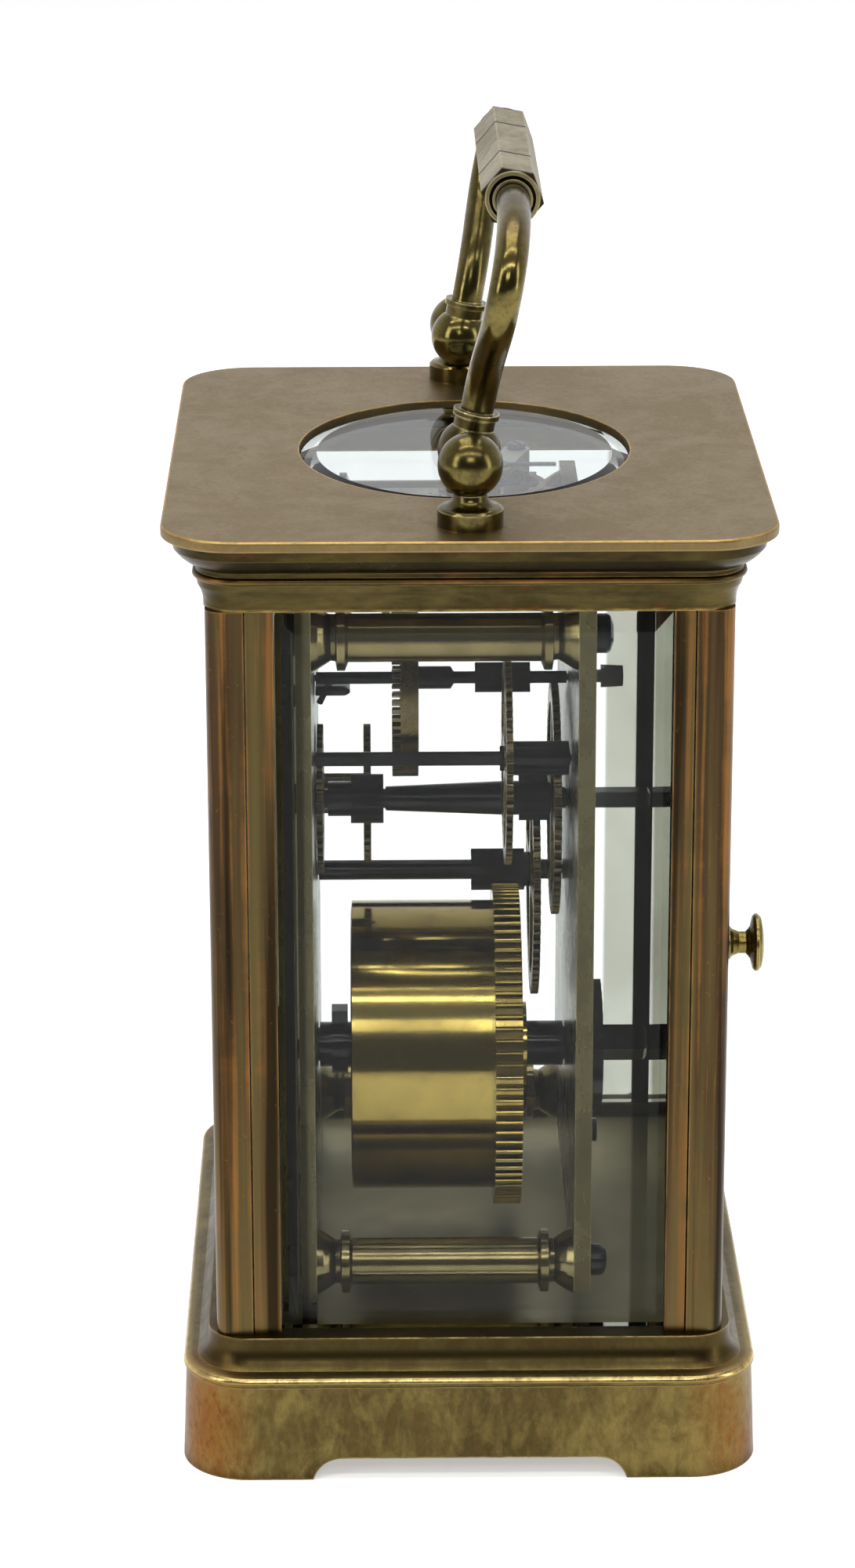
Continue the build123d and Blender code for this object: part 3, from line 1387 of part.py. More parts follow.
with BuildPart() as balance_wheel:
    turned_upright(
        balance_at,
        [
            (0, platform_z + 0.2), (0.25, platform_z + 0.2), (0.25, platform_top + 0.1),
            (0.45, platform_top + 0.1), (0.45, balance_low - 0.4), (0.9, balance_low - 0.4),
            (0.9, balance_low + 1.0), (0.45, balance_low + 1.0), (0.45, balance_cock_under - 0.15),
            (0.25, balance_cock_under - 0.15),
            (0.25, balance_cock_under + 0.7), (0, balance_cock_under + 0.7),
        ],
    )
    with BuildSketch(Plane.XY.offset(balance_low)):
        with Locations(balance_at):
            Circle(balance_radius)
            Circle(balance_radius - 0.8, mode=Mode.SUBTRACT)
            Rectangle(2 * balance_radius - 0.8, 0.8)
    extrude(amount=0.9)
    with Locations((balance_at[0], balance_at[1], balance_low + 0.45)):
        with PolarLocations(balance_radius + 0.15, 12, start_angle=15):
            Cylinder(0.32, 0.75, rotation=(0, 90, 0))
save(balance_wheel, "balance_wheel")

hairspring_turns = 5
hairspring_wire = 0.09
hairspring_inner = 1.2
hairspring_pitch = 0.62
with BuildPart() as hairspring:
    hairspring_z = balance_low + 1.45
    with BuildLine(Plane((balance_at[0], balance_at[1], hairspring_z))) as coil:
        radius = hairspring_inner
        start = (radius, 0)
        side = 1
        for half_turn in range(2 * hairspring_turns):
            end = (-side * (radius + hairspring_pitch / 2), 0)
            crest = ((start[0] + end[0]) / 2, side * abs(start[0] - end[0]) / 2)
            ThreePointArc(start, crest, end)
            start = end
            radius += hairspring_pitch / 2
            side = -side
    with BuildSketch(Plane(origin=coil.line @ 0, x_dir=(1, 0, 0), z_dir=coil.line % 0)):
        Circle(hairspring_wire)
    sweep(path=coil.line)
    with BuildSketch(Plane.XY.offset(hairspring_z - 0.25)):
        with Locations(balance_at):
            Circle(hairspring_inner + 0.05)
            Circle(0.47, mode=Mode.SUBTRACT)
    extrude(amount=0.45)
save(hairspring, "hairspring")
print("hairspring least gap between turns:", round(hairspring_pitch - 2 * hairspring_wire, 3), "mm")

with BuildPart() as regulator_index:
    index_z = balance_cock_top + 0.05
    with BuildSketch(Plane.XY.offset(index_z)):
        with Locations(balance_at):
            Circle(1.7)
            Rectangle(0.7, 7.5, align=(Align.CENTER, Align.MIN))
            Circle(0.7, mode=Mode.SUBTRACT)
    extrude(amount=0.35)
save(regulator_index, "regulator_index")
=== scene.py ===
import bpy
import math
from mathutils import Matrix, Vector


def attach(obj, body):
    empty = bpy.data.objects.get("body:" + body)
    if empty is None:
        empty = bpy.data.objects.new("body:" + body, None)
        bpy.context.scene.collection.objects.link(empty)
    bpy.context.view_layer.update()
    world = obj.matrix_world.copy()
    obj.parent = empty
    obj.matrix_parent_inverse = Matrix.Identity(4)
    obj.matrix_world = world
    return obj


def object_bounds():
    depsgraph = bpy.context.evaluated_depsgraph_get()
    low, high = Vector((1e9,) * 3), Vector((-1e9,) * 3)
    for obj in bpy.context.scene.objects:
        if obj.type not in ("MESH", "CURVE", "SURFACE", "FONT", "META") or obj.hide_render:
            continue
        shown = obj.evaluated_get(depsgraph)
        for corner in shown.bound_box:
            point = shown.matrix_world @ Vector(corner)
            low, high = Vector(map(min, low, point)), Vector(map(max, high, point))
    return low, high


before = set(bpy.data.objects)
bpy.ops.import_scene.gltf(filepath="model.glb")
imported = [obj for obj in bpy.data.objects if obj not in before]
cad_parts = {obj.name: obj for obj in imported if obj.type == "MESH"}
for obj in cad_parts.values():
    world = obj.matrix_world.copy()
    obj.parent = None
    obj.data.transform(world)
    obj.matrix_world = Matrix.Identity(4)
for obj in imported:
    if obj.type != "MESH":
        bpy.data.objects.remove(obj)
cad_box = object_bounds()
bpy.ops.object.select_all(action="DESELECT")

# Metres, in the model's own frame: the dial faces -Y, the door faces +Y, the photo's camera is on +X.
MM = 0.001

# Heights of the mouldings that a finish follows
BASE_BEAD_Z = 12.75 * MM
BASE_COVE_Z = 15.3 * MM
BASE_INSIDE_Z = 8.0 * MM
CORNICE_FOOT_Z = 106.6 * MM
CORNICE_STEP_Z = 110.0 * MM
CORNICE_LINE_Z = 110.3 * MM

# Half sizes across the clock, width along X and depth along Y
INSIDE_HALF_WIDTH = 33.0 * MM
INSIDE_HALF_DEPTH = 27.0 * MM
BEVEL_HALF_DEPTH = 18.9 * MM
LIP_HALF_WIDTH = 39.0 * MM
LIP_HALF_DEPTH = 32.0 * MM
GRIP_GROOVES = (9.2 * MM, 19.3 * MM)

# Where the small pieces sit, and how far they are let into what carries them
SUNK = 0.05 * MM
BACK_PLATE_FACE_Y = 14.6 * MM
FRONT_PLATE_INNER_Y = -18.0 * MM
CONTRATE_Z = 87.4 * MM
DIAL_MIDDLE = (0.0, -23.41 * MM, 71.8 * MM)
MINUTE_HAND_FACE_Y = -26.2 * MM
NUMERALS = ("I", "II", "III", "IIII", "V", "VI", "VII", "VIII", "IX", "X", "XI", "XII")


# Shader arithmetic

class Signal:
    """A number or colour inside a finish; arithmetic on it adds Math nodes."""

    def __init__(self, finish, socket):
        self.finish = finish
        self.socket = socket

    def math(self, operation, first, second):
        return self.finish.node("ShaderNodeMath", {"operation": operation}, {0: first, 1: second})

    def __add__(self, other):
        return self.math("ADD", self, other)

    def __sub__(self, other):
        return self.math("SUBTRACT", self, other)

    def __rsub__(self, other):
        return self.math("SUBTRACT", other, self)

    def __mul__(self, other):
        return self.math("MULTIPLY", self, other)

    __radd__ = __add__
    __rmul__ = __mul__


class Finish:
    """A surface finish: one principled shader and the patterns that feed it."""

    def __init__(self, name, metallic=0.0, roughness=0.5):
        self.material = bpy.data.materials.new(name)
        self.material.use_nodes = True
        self.tree = self.material.node_tree
        self.shader = self.tree.nodes["Principled BSDF"]
        self.output = self.tree.nodes["Material Output"]
        self.set("Metallic", metallic)
        self.set("Roughness", roughness)

    def node(self, kind, settings, inputs, output=0):
        """Adds one node: its settings first, then the values or links of its sockets."""
        made = self.tree.nodes.new(kind)
        for key, value in settings.items():
            setattr(made, key, value)
        for key, value in inputs.items():
            self.feed(made.inputs[key], value)
        return Signal(self, made.outputs[output])

    def feed(self, socket, value):
        if isinstance(value, Signal):
            self.tree.links.new(value.socket, socket)
        else:
            socket.default_value = value

    def set(self, name, value):
        self.feed(self.shader.inputs[name], value)

    def place(self, stretch=(1.0, 1.0, 1.0)):
        """Object coordinates, stretched where a pattern runs along the work."""
        here = self.node("ShaderNodeTexCoord", {}, {}, "Object")
        return self.node("ShaderNodeMapping", {}, {"Vector": here, "Scale": stretch})

    def axes(self):
        """The x, y and z of a point on the clock, in metres."""
        here = self.node("ShaderNodeTexCoord", {}, {}, "Object")
        return [self.node("ShaderNodeSeparateXYZ", {}, {0: here}, axis) for axis in ("X", "Y", "Z")]

    def size_of(self, value):
        return value.math("ABSOLUTE", value, 0.0)

    def within(self, value, reach, fade=1.5 * MM):
        """1 up to a distance either side of the middle, then fading to 0."""
        return self.span(self.size_of(value), reach, reach + fade, 1.0, 0.0)

    def band(self, value, middle, half_width):
        """1 at a height, fading to 0 at half a width either side."""
        return self.span(self.size_of(value - middle), 0.0, half_width, 1.0, 0.0)

    def clouds(self, place, scale, detail=4.0, rough=0.6, warp=0.0):
        inputs = {"Vector": place, "Scale": scale, "Detail": detail, "Roughness": rough, "Distortion": warp}
        return self.node("ShaderNodeTexNoise", {}, inputs)

    def span(self, value, low, high, to_low=0.0, to_high=1.0):
        """Value from low..high carried to to_low..to_high, held at both ends."""
        inputs = {"Value": value, 1: low, 2: high, 3: to_low, 4: to_high}
        return self.node("ShaderNodeMapRange", {}, inputs)

    def blend(self, first, second, share):
        inputs = {"Factor": share, 6: first, 7: second}
        return self.node("ShaderNodeMix", {"data_type": "RGBA"}, inputs, 2)

    def rounded(self, radius):
        """The surface direction with its edges rounded over by a radius."""
        return self.node("ShaderNodeBevel", {"samples": 6}, {"Radius": radius})

    def worn_and_highlit_edges(self, radius, reach):
        """1 on outer edges, where handling has worn the metal bright and where an edge highlight is painted,
        and 0 elsewhere.
        """
        flat = self.node("ShaderNodeNewGeometry", {}, {}, "Normal")
        both = self.node(
            "ShaderNodeVectorMath", {"operation": "DOT_PRODUCT"}, {0: self.rounded(radius), 1: flat}, "Value"
        )
        return self.span(both, 1.0 - reach, 0.995, 1.0, 0.0)

    def recess_shade_and_dirt(self, distance):
        """0 in the open, towards 1 in corners: where grime gathers, and where shade is painted."""
        open_share = self.node("ShaderNodeAmbientOcclusion", {"samples": 6}, {"Distance": distance}, "AO")
        return 1.0 - open_share

    def bump(self, height, distance, strength=1.0, rounding=0.0):
        inputs = {"Height": height, "Distance": distance, "Strength": strength}
        if rounding:
            inputs["Normal"] = self.rounded(rounding)
        self.set("Normal", self.node("ShaderNodeBump", {}, inputs))


def rgb(red, green, blue):
    """A colour written as it looks on screen, 0 to 255, for a shader."""
    def linear(channel):
        share = channel / 255
        return share / 12.92 if share <= 0.04045 else ((share + 0.055) / 1.055) ** 2.4

    return (linear(red), linear(green), linear(blue), 1.0)


# Finishes

# Near-black brown: soot in corners, and also painted shade in recesses and grooves and painted dark
# reflection streaks.
SOOT_AND_SHADE = rgb(30, 24, 16)
UPRIGHT = (1.0, 1.0, 0.018)
ALONG_DEPTH = (1.0, 0.1, 1.0)
ROUND_THE_CASE = (0.25, 0.25, 1.0)


def aged_brass(
        name, body, tarnish, warm, bright, grain=(1.0, 1.0, 1.0), roughness=0.24, tarnish_share=0.8,
        warm_share=0.3, wear_and_highlight=0.8, dirt_and_shade=0.8, lip=0.0, grooves=()):
    """Old brass: tarnish in clouds, copper stains, edges worn bright with a painted highlight, a worn outer
    lip with a painted highlight, grime and painted shade in corners, painted shade in grooves.
    """
    finish = Finish(name, metallic=1.0)
    still = finish.place()
    drawn = finish.place(grain)
    broad = finish.clouds(drawn, 45.0, 5.0, 0.62, 0.6)
    patch = finish.clouds(drawn, 190.0, 6.0, 0.7, 0.4)
    fine = finish.clouds(drawn, 900.0, 4.0, 0.65)
    stain = finish.clouds(drawn, 80.0, 4.0, 0.6, 1.0)
    speck = finish.clouds(still, 1700.0, 3.0, 0.6)
    tarnished = finish.span(broad * 0.9 + patch * 0.7 + fine * 0.35, 0.86, 1.1, 0.0, tarnish_share)
    colour = finish.blend(body, tarnish, tarnished)
    warmed = finish.span(stain + fine * 0.2, 0.62, 0.78, 0.0, warm_share)
    colour = finish.blend(colour, warm, warmed)
    colour = finish.blend(colour, tarnish, finish.span(speck, 0.56, 0.7, 0.0, 0.45))
    # Outer edges worn bright, partly a painted edge highlight.
    edge = finish.worn_and_highlit_edges(0.4 * MM, 0.16)
    rubbed_and_highlit = edge * finish.span(patch, 0.38, 0.6, 0.15, 1.0)
    colour = finish.blend(colour, bright, rubbed_and_highlit * wear_and_highlight)
    # Grime and painted shade in corners and hollows.
    deep = finish.span(finish.recess_shade_and_dirt(2.6 * MM), 0.25, 0.85, 0.0, dirt_and_shade)
    colour = finish.blend(colour, SOOT_AND_SHADE, deep)
    if lip:
        x, y, z = finish.axes()
        at_sides = finish.span(finish.size_of(x), LIP_HALF_WIDTH - 3.0 * MM, LIP_HALF_WIDTH)
        at_ends = finish.span(finish.size_of(y), LIP_HALF_DEPTH - 3.0 * MM, LIP_HALF_DEPTH)
        outer = at_sides.math("MAXIMUM", at_sides, at_ends)
        slope = finish.node("ShaderNodeSeparateXYZ", {}, {0: finish.rounded(0.5 * MM)}, "Z")
        # The outer lip worn bright, with a painted highlight where its rounded edge slopes up and out.
        worn_and_highlit_lip = finish.band(slope, 0.7, 0.26) * outer * finish.span(patch, 0.36, 0.56, 0.35, 1.0)
        colour = finish.blend(colour, bright, worn_and_highlit_lip * lip)
    for place in grooves:
        # Painted shade in the grip's grooves.
        groove_shade = finish.band(finish.size_of(finish.axes()[0]), place, 0.6 * MM)
        colour = finish.blend(colour, SOOT_AND_SHADE, finish.span(groove_shade, 0.1, 0.45, 0.0, 0.9))
    finish.set("Base Color", colour)
    finish.set("Roughness", roughness + tarnished * 0.14 + deep * 0.2 + speck * 0.1 - rubbed_and_highlit * 0.06)
    finish.bump(speck * 0.5 + fine * 0.5 + patch * 0.7, 0.03 * MM, 0.45, 0.12 * MM)
    return finish.material


def base_brass(name):
    """The cast base: mottled olive, orange-brown at the corners, a painted highlight along the bead and
    front edges, painted shade in the cove.
    """
    finish = Finish(name, metallic=1.0)
    still = finish.place()
    drawn = finish.place((1.3, 1.3, 0.7))
    broad = finish.clouds(still, 42.0, 5.0, 0.6, 0.5)
    patch = finish.clouds(drawn, 240.0, 6.0, 0.72, 0.5)
    fine = finish.clouds(drawn, 1100.0, 4.0, 0.65)
    x, y, z = finish.axes()
    olive = finish.span(broad * 0.8 + patch * 0.8 + fine * 0.3, 0.8, 1.12)
    colour = finish.blend(rgb(126, 109, 62), rgb(78, 67, 39), olive)
    colour = finish.blend(colour, rgb(104, 82, 44), finish.span(patch, 0.52, 0.66, 0.0, 0.55))
    at_ends = finish.span(finish.size_of(y), 25.0 * MM, 34.0 * MM)
    corner = at_ends * finish.span(finish.size_of(x), 30.0 * MM, 41.0 * MM)
    stained = corner * finish.span(broad + patch * 0.6, 0.62, 0.86)
    colour = finish.blend(colour, rgb(150, 92, 38), stained * 0.85)
    colour = finish.blend(colour, rgb(92, 46, 26), stained * finish.span(fine, 0.52, 0.66, 0.0, 0.7))
    inside = finish.within(x, INSIDE_HALF_WIDTH) * finish.within(y, INSIDE_HALF_DEPTH)
    inside = inside * finish.span(z, BASE_INSIDE_Z, BASE_INSIDE_Z + 1.0 * MM)
    foot = finish.span(z, 0.0, 2.2 * MM, 0.45, 0.0) * finish.span(patch, 0.4, 0.6)
    colour = finish.blend(colour, rgb(58, 44, 26), foot)
    # Painted shade in the cove.
    cove = finish.band(z, BASE_COVE_Z, 2.6 * MM)
    colour = finish.blend(colour, rgb(58, 49, 27), finish.span(cove, 0.0, 0.5, 0.0, 0.85))
    # Painted highlight along the bead, strongest on the +X front side and faint on the other sides.
    facing = finish.span(x, 0.0, 40.0 * MM, 0.25, 1.0)
    bead = finish.band(z, BASE_BEAD_Z, 0.42 * MM) * facing
    bead = bead * finish.span(patch + fine * 0.4, 0.52, 0.74, 0.15, 1.0)
    colour = finish.blend(colour, rgb(232, 206, 134), bead * 0.85)
    # Edges worn bright, partly a painted highlight, on the +X front side.
    edge = finish.worn_and_highlit_edges(0.35 * MM, 0.16) * finish.span(patch, 0.4, 0.6, 0.05, 0.7) * facing
    colour = finish.blend(colour, rgb(226, 200, 130), edge)
    # Grime and painted shade in hollows.
    deep = finish.span(finish.recess_shade_and_dirt(2.4 * MM), 0.25, 0.85, 0.0, 0.85)
    colour = finish.blend(colour, SOOT_AND_SHADE, deep)
    colour = finish.blend(colour, rgb(150, 141, 108), inside * finish.span(broad, 0.3, 0.7, 0.9, 0.55))
    finish.set("Base Color", colour)
    finish.set("Roughness", 0.26 + olive * 0.12 + stained * 0.1 + deep * 0.2 + inside * 0.1 - bead * 0.12)
    finish.bump(fine * 0.6 + patch * 0.8, 0.03 * MM, 0.45, 0.15 * MM)
    return finish.material


def post_finish(name, body, painted_reflection, olive, low_tone):
    """Upright bars: dark metal with long painted streaks of bright and dark reflection, paler towards the
    foot.
    """
    finish = Finish(name, metallic=1.0)
    still = finish.place()
    drawn = finish.place(UPRIGHT)
    wide = finish.clouds(drawn, 330.0, 3.0, 0.55, 0.3)
    narrow = finish.clouds(drawn, 950.0, 3.0, 0.6, 0.2)
    cloud = finish.clouds(still, 110.0, 5.0, 0.65, 0.6)
    speck = finish.clouds(still, 1500.0, 3.0, 0.6)
    x, y, z = finish.axes()
    low = finish.span(z + cloud * 0.03, 30.0 * MM, 64.0 * MM, 0.7, 0.0)
    colour = finish.blend(body, low_tone, low)
    colour = finish.blend(colour, olive, finish.span(wide, 0.5, 0.62, 0.0, 0.8))
    # Painted bright reflection streaks running up the bars, and painted glints at specks.
    colour = finish.blend(colour, painted_reflection, finish.span(narrow + cloud * 0.35, 0.66, 0.86, 0.0, 0.75))
    # Painted dark reflection streaks.
    colour = finish.blend(colour, SOOT_AND_SHADE, finish.span(wide, 0.5, 0.38, 0.0, 0.9))
    colour = finish.blend(colour, painted_reflection, finish.span(speck, 0.66, 0.76, 0.0, 0.35))
    # Edges worn bright, partly a painted highlight along them.
    edge = finish.worn_and_highlit_edges(0.4 * MM, 0.16) * finish.span(cloud, 0.36, 0.6, 0.1, 0.75)
    colour = finish.blend(colour, rgb(158, 116, 66), edge)
    # Grime and painted shade in hollows.
    deep = finish.span(finish.recess_shade_and_dirt(1.8 * MM), 0.3, 0.9, 0.0, 0.85)
    colour = finish.blend(colour, SOOT_AND_SHADE, deep)
    finish.set("Base Color", colour)
    finish.set("Roughness", 0.2 + wide * 0.12 + speck * 0.1 + deep * 0.2)
    finish.bump(narrow * 0.6 + speck * 0.4, 0.015 * MM, 0.4, 0.12 * MM)
    return finish.material


def cornice_brass(name):
    """The cornice: painted near black-brown shade under the plate, olive on the fascia, painted gold
    highlights along its lines.
    """
    finish = Finish(name, metallic=1.0)
    drawn = finish.place(ROUND_THE_CASE)
    broad = finish.clouds(finish.place(), 50.0, 5.0, 0.6, 0.5)
    patch = finish.clouds(drawn, 420.0, 5.0, 0.68, 0.3)
    fine = finish.clouds(drawn, 1500.0, 4.0, 0.65)
    x, y, z = finish.axes()
    lower = finish.span(z, CORNICE_STEP_Z - 0.4 * MM, CORNICE_STEP_Z + 0.4 * MM, 1.0, 0.0)
    mottle = finish.span(broad * 0.6 + patch * 0.6 + fine * 0.2, 0.56, 0.8)
    # Painted shade under the top plate: near black-brown above the step.
    shaded_under_plate = finish.blend(rgb(70, 60, 33), rgb(44, 37, 22), mottle)
    fascia = finish.blend(rgb(84, 73, 42), rgb(54, 47, 27), mottle)
    colour = finish.blend(shaded_under_plate, fascia, lower)
    colour = finish.blend(colour, rgb(104, 68, 38), finish.span(patch + broad * 0.5, 0.84, 0.98, 0.0, 0.5))
    # Painted gold highlight along the moulding's upper edge.
    highlight_line = finish.band(z, CORNICE_LINE_Z, 0.4 * MM) * finish.span(broad + fine * 0.3, 0.55, 0.8, 0.1, 0.9)
    colour = finish.blend(colour, rgb(160, 116, 66), highlight_line * 0.7)
    # Painted highlight along the cornice foot.
    rim_highlight = finish.band(z, CORNICE_FOOT_Z, 0.3 * MM) * finish.span(fine, 0.4, 0.6)
    colour = finish.blend(colour, rgb(172, 146, 84), rim_highlight * 0.6)
    # Edges worn bright, partly a painted highlight.
    edge = finish.worn_and_highlit_edges(0.3 * MM, 0.16) * finish.span(patch, 0.42, 0.6, 0.05, 0.7)
    colour = finish.blend(colour, rgb(190, 160, 92), edge)
    # Grime and painted shade in hollows.
    deep = finish.span(finish.recess_shade_and_dirt(2.0 * MM), 0.25, 0.8, 0.0, 0.85)
    colour = finish.blend(colour, SOOT_AND_SHADE, deep)
    finish.set("Base Color", colour)
    finish.set("Roughness", 0.26 + mottle * 0.12 + deep * 0.2)
    finish.bump(fine * 0.6 + patch * 0.6, 0.02 * MM, 0.4, 0.15 * MM)
    return finish.material


def movement_brass(name, body, shade, spots, roughness, grain=(1.0, 1.0, 1.0), edge_share=0.45, bumps=1.0):
    """Brass inside the case: cleaner, with fine machining lines and a few dull spots."""
    finish = Finish(name, metallic=1.0)
    still = finish.place()
    lines = finish.clouds(finish.place(grain), 900.0, 3.0, 0.6)
    cloud = finish.clouds(still, 110.0, 5.0, 0.65, 0.8)
    speck = finish.clouds(still, 1100.0, 3.0, 0.6)
    colour = finish.blend(body, shade, finish.span(cloud, 0.42, 0.68, 0.0, 0.7))
    colour = finish.blend(colour, shade, finish.span(lines, 0.45, 0.75, 0.0, 0.4 * bumps))
    colour = finish.blend(colour, spots, finish.span(speck, 0.6, 0.74, 0.0, 0.5))
    # Edges worn bright, partly a painted highlight.
    edge = finish.worn_and_highlit_edges(0.2 * MM, 0.2)
    colour = finish.blend(colour, rgb(226, 204, 142), edge * edge_share)
    # Grime and painted shade in hollows.
    deep = finish.span(finish.recess_shade_and_dirt(1.8 * MM), 0.3, 0.9, 0.0, 0.85)
    colour = finish.blend(colour, SOOT_AND_SHADE, deep)
    finish.set("Base Color", colour)
    finish.set("Roughness", roughness + cloud * 0.1 + lines * 0.05 + deep * 0.2)
    finish.bump(lines * 0.7 + speck * 0.3, 0.012 * bumps * MM, 0.5, 0.06 * MM)
    return finish.material


def steel(name, body, tint, roughness, spots=rgb(60, 40, 24)):
    """Hardened steel: dark oxide, fine polishing lines, faint rust."""
    finish = Finish(name, metallic=1.0)
    still = finish.place()
    cloud = finish.clouds(still, 260.0, 5.0, 0.6, 0.6)
    fine = finish.clouds(still, 2200.0, 3.0, 0.6)
    colour = finish.blend(body, tint, finish.span(cloud, 0.38, 0.66))
    colour = finish.blend(colour, spots, finish.span(fine, 0.62, 0.78, 0.0, 0.3))
    # Painted highlight on the edges.
    edge = finish.worn_and_highlit_edges(0.12 * MM, 0.25)
    colour = finish.blend(colour, rgb(150, 146, 132), edge * 0.5)
    finish.set("Base Color", colour)
    finish.set("Roughness", roughness + cloud * 0.1 + fine * 0.05)
    finish.bump(fine, 0.006 * MM, 0.4, 0.05 * MM)
    return finish.material


def frosted_silver(name):
    """Silvered, frosted gilding of the escapement platform."""
    finish = Finish(name, metallic=1.0)
    still = finish.place()
    frost = finish.clouds(still, 5200.0, 2.0, 0.6)
    cloud = finish.clouds(still, 150.0, 5.0, 0.6, 0.7)
    colour = finish.blend(rgb(158, 158, 152), rgb(118, 114, 102), finish.span(cloud, 0.4, 0.7))
    # Edges partly worn bright, partly a painted highlight; below, grime and painted shade in hollows.
    colour = finish.blend(colour, rgb(200, 198, 190), finish.worn_and_highlit_edges(0.15 * MM, 0.2) * 0.5)
    deep = finish.span(finish.recess_shade_and_dirt(1.2 * MM), 0.3, 0.9, 0.0, 0.7)
    colour = finish.blend(colour, rgb(46, 42, 34), deep)
    finish.set("Base Color", colour)
    finish.set("Roughness", 0.36 + cloud * 0.15 + frost * 0.1)
    finish.bump(frost, 0.02 * MM, 0.5, 0.05 * MM)
    return finish.material


def plate_glass(name, body=(0.87, 0.895, 0.885, 1.0), bevelled=False):
    """Clear polished glass that lets the lamps through to the movement; the bevels get a painted darker,
    greener tint standing for their refraction.
    """
    finish = Finish(name, roughness=0.0)
    smear = finish.clouds(finish.place(), 55.0, 4.0, 0.6, 0.8)
    smeared = [channel * 0.94 for channel in body[:3]] + [1.0]
    tint = finish.blend(body, smeared, finish.span(smear, 0.45, 0.7))
    if bevelled:
        x, y, z = finish.axes()
        # Painted darker, greener refraction on the bevels.
        painted_bevel_shade = finish.span(finish.size_of(y), BEVEL_HALF_DEPTH, BEVEL_HALF_DEPTH + 0.4 * MM, 0.0, 0.9)
        tint = finish.blend(tint, rgb(150, 152, 136), painted_bevel_shade * finish.span(smear, 0.3, 0.7, 0.8, 1.0))
    finish.set("Base Color", tint)
    finish.set("Transmission Weight", 1.0)
    finish.set("IOR", 1.2)
    open_way = finish.node("ShaderNodeBsdfTransparent", {}, {"Color": (0.94, 0.965, 0.955, 1.0)})
    shadow = finish.node("ShaderNodeLightPath", {}, {}, "Is Shadow Ray")
    diffuse = finish.node("ShaderNodeLightPath", {}, {}, "Is Diffuse Ray")
    lamp = shadow.math("MAXIMUM", shadow, diffuse)
    pane = Signal(finish, finish.shader.outputs[0])
    whole = finish.node("ShaderNodeMixShader", {}, {0: lamp, 1: pane, 2: open_way})
    finish.feed(finish.output.inputs["Surface"], whole)
    return finish.material


def dial_enamel(name):
    """Vitreous enamel: warm white, glossy, very slightly uneven."""
    finish = Finish(name, roughness=0.12)
    still = finish.place()
    cloud = finish.clouds(still, 60.0, 4.0, 0.55)
    fine = finish.clouds(still, 1400.0, 2.0, 0.5)
    colour = finish.blend(rgb(240, 236, 224), rgb(228, 222, 204), finish.span(cloud, 0.35, 0.7))
    # Grime and painted shade in hollows.
    deep = finish.span(finish.recess_shade_and_dirt(1.5 * MM), 0.4, 0.95, 0.0, 0.5)
    colour = finish.blend(colour, rgb(120, 96, 60), deep)
    finish.set("Base Color", colour)
    finish.set("Roughness", 0.1 + fine * 0.08)
    finish.bump(cloud, 0.04 * MM, 0.4)
    return finish.material


def dial_black(name):
    """Black dial paint, fired on."""
    finish = Finish(name)
    fine = finish.clouds(finish.place(), 1800.0, 3.0, 0.6)
    finish.set("Base Color", finish.blend(rgb(20, 18, 17), rgb(40, 36, 34), finish.span(fine, 0.4, 0.7)))
    finish.set("Roughness", 0.2 + fine * 0.12)
    return finish.material


